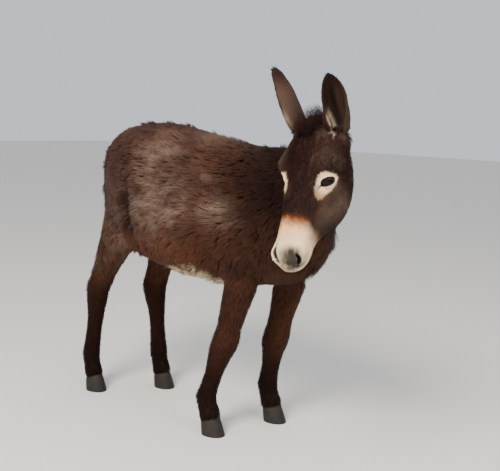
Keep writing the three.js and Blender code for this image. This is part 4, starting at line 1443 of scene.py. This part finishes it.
class DONKEY_OT_eyes(bpy.types.Operator):
    """Makes both eyeballs"""

    bl_idname = "donkey.eyes"
    bl_label = "Eyes"

    def execute(self, context):
        for side in SIDES:
            make_eye(side)
        return {"FINISHED"}


class DONKEY_OT_hooves(bpy.types.Operator):
    """Makes the four hooves"""

    bl_idname = "donkey.hooves"
    bl_label = "Hooves"

    def execute(self, context):
        for leg in LEGS:
            make_hoof(leg)
        return {"FINISHED"}


class DONKEY_OT_body_coat(bpy.types.Operator):
    """Grows the coat of the trunk, in quarters, and of the neck and tail"""

    bl_idname = "donkey.body_coat"
    bl_label = "Body coat"

    def execute(self, context):
        middle = (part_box("trunk")[0][0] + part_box("trunk")[1][0]) / 2
        for (side, way), (end, forward) in itertools.product(SIDES.items(), (("front", 1), ("rear", -1))):

            def quarter(points):
                on_side = (points[:, 1] - CENTRE_Y) * way > 0
                return on_side & ((points[:, 0] - middle) * forward > 0)

            grown(f"coat_trunk_{side}_{end}", ["trunk"], quarter)
        grown("coat_neck", ["neck"])
        grown("coat_tail", ["tail"])
        return {"FINISHED"}


class DONKEY_OT_head_coat(bpy.types.Operator):
    """Grows the short coat of the head, in halves, and of the ears"""

    bl_idname = "donkey.head_coat"
    bl_label = "Head coat"

    def execute(self, context):
        for side, way in SIDES.items():
            grown(f"coat_head_{side}", ["head"], lambda points: to_head(points)[:, 1] * way > 0)
        grown("coat_ears", ["ear_left", "ear_right"])
        return {"FINISHED"}


class DONKEY_OT_leg_coats(bpy.types.Operator):
    """Grows the coat of the four legs"""

    bl_idname = "donkey.leg_coats"
    bl_label = "Leg coats"

    def execute(self, context):
        for leg in LEGS:
            upper = "forearm" if leg.startswith("fore") else "thigh"
            grown(f"coat_leg_{leg}", [f"{upper}_{leg}", f"cannon_{leg}"])
        return {"FINISHED"}


class DONKEY_OT_mane(bpy.types.Operator):
    """Grows the mane's upright crest, the forelock and the tail's tuft"""

    bl_idname = "donkey.mane"
    bl_label = "Mane and tail tuft"

    def execute(self, context):
        for name, (parts, height, clump) in CRESTS.items():
            grown(
                f"{name}_hair", parts, near_node(name, CREST_REACH), (name,),
                rows=3, clump=clump, change=standing(height), crowding=5.0,
            )
        grown(
            "tail_hair", ["tail"], lambda points: points[:, 2] < TAIL_TOP, ("tail_switch",),
            rows=5, clump=0.012, change=hanging, crowding=1.6,
        )
        return {"FINISHED"}


OPERATORS = (
    DONKEY_OT_stage,
    DONKEY_OT_skin,
    DONKEY_OT_eyes,
    DONKEY_OT_hooves,
    DONKEY_OT_body_coat,
    DONKEY_OT_head_coat,
    DONKEY_OT_leg_coats,
    DONKEY_OT_mane,
)
GROUPS = {
    "donkey_colours": DonkeyColours,
    "donkey_coat": DonkeyCoat,
    "donkey_stage": DonkeyStage,
}


class DONKEY_PT_panel(bpy.types.Panel):
    """Lists the donkey's sizes and colours, and the steps that make it"""

    bl_idname = "DONKEY_PT_panel"
    bl_label = "Donkey"
    bl_space_type = "VIEW_3D"
    bl_region_type = "UI"
    bl_category = "Donkey"

    def draw(self, context):
        for name, group in GROUPS.items():
            box = self.layout.box()
            for key in group.__annotations__:
                box.prop(getattr(context.scene, name), key)
        for operator in OPERATORS:
            self.layout.operator(operator.bl_idname)


def register():
    for kind in (*GROUPS.values(), *OPERATORS, DONKEY_PT_panel):
        bpy.utils.register_class(kind)
    for name, group in GROUPS.items():
        setattr(bpy.types.Scene, name, PointerProperty(type=group))


def unregister():
    for name in GROUPS:
        delattr(bpy.types.Scene, name)
    for kind in (DONKEY_PT_panel, *reversed(OPERATORS), *reversed(GROUPS.values())):
        bpy.utils.unregister_class(kind)


def main():
    register()
    for operator in OPERATORS:
        getattr(bpy.ops.donkey, operator.bl_idname.split(".")[1])()


if __name__ == "__main__":
    main()
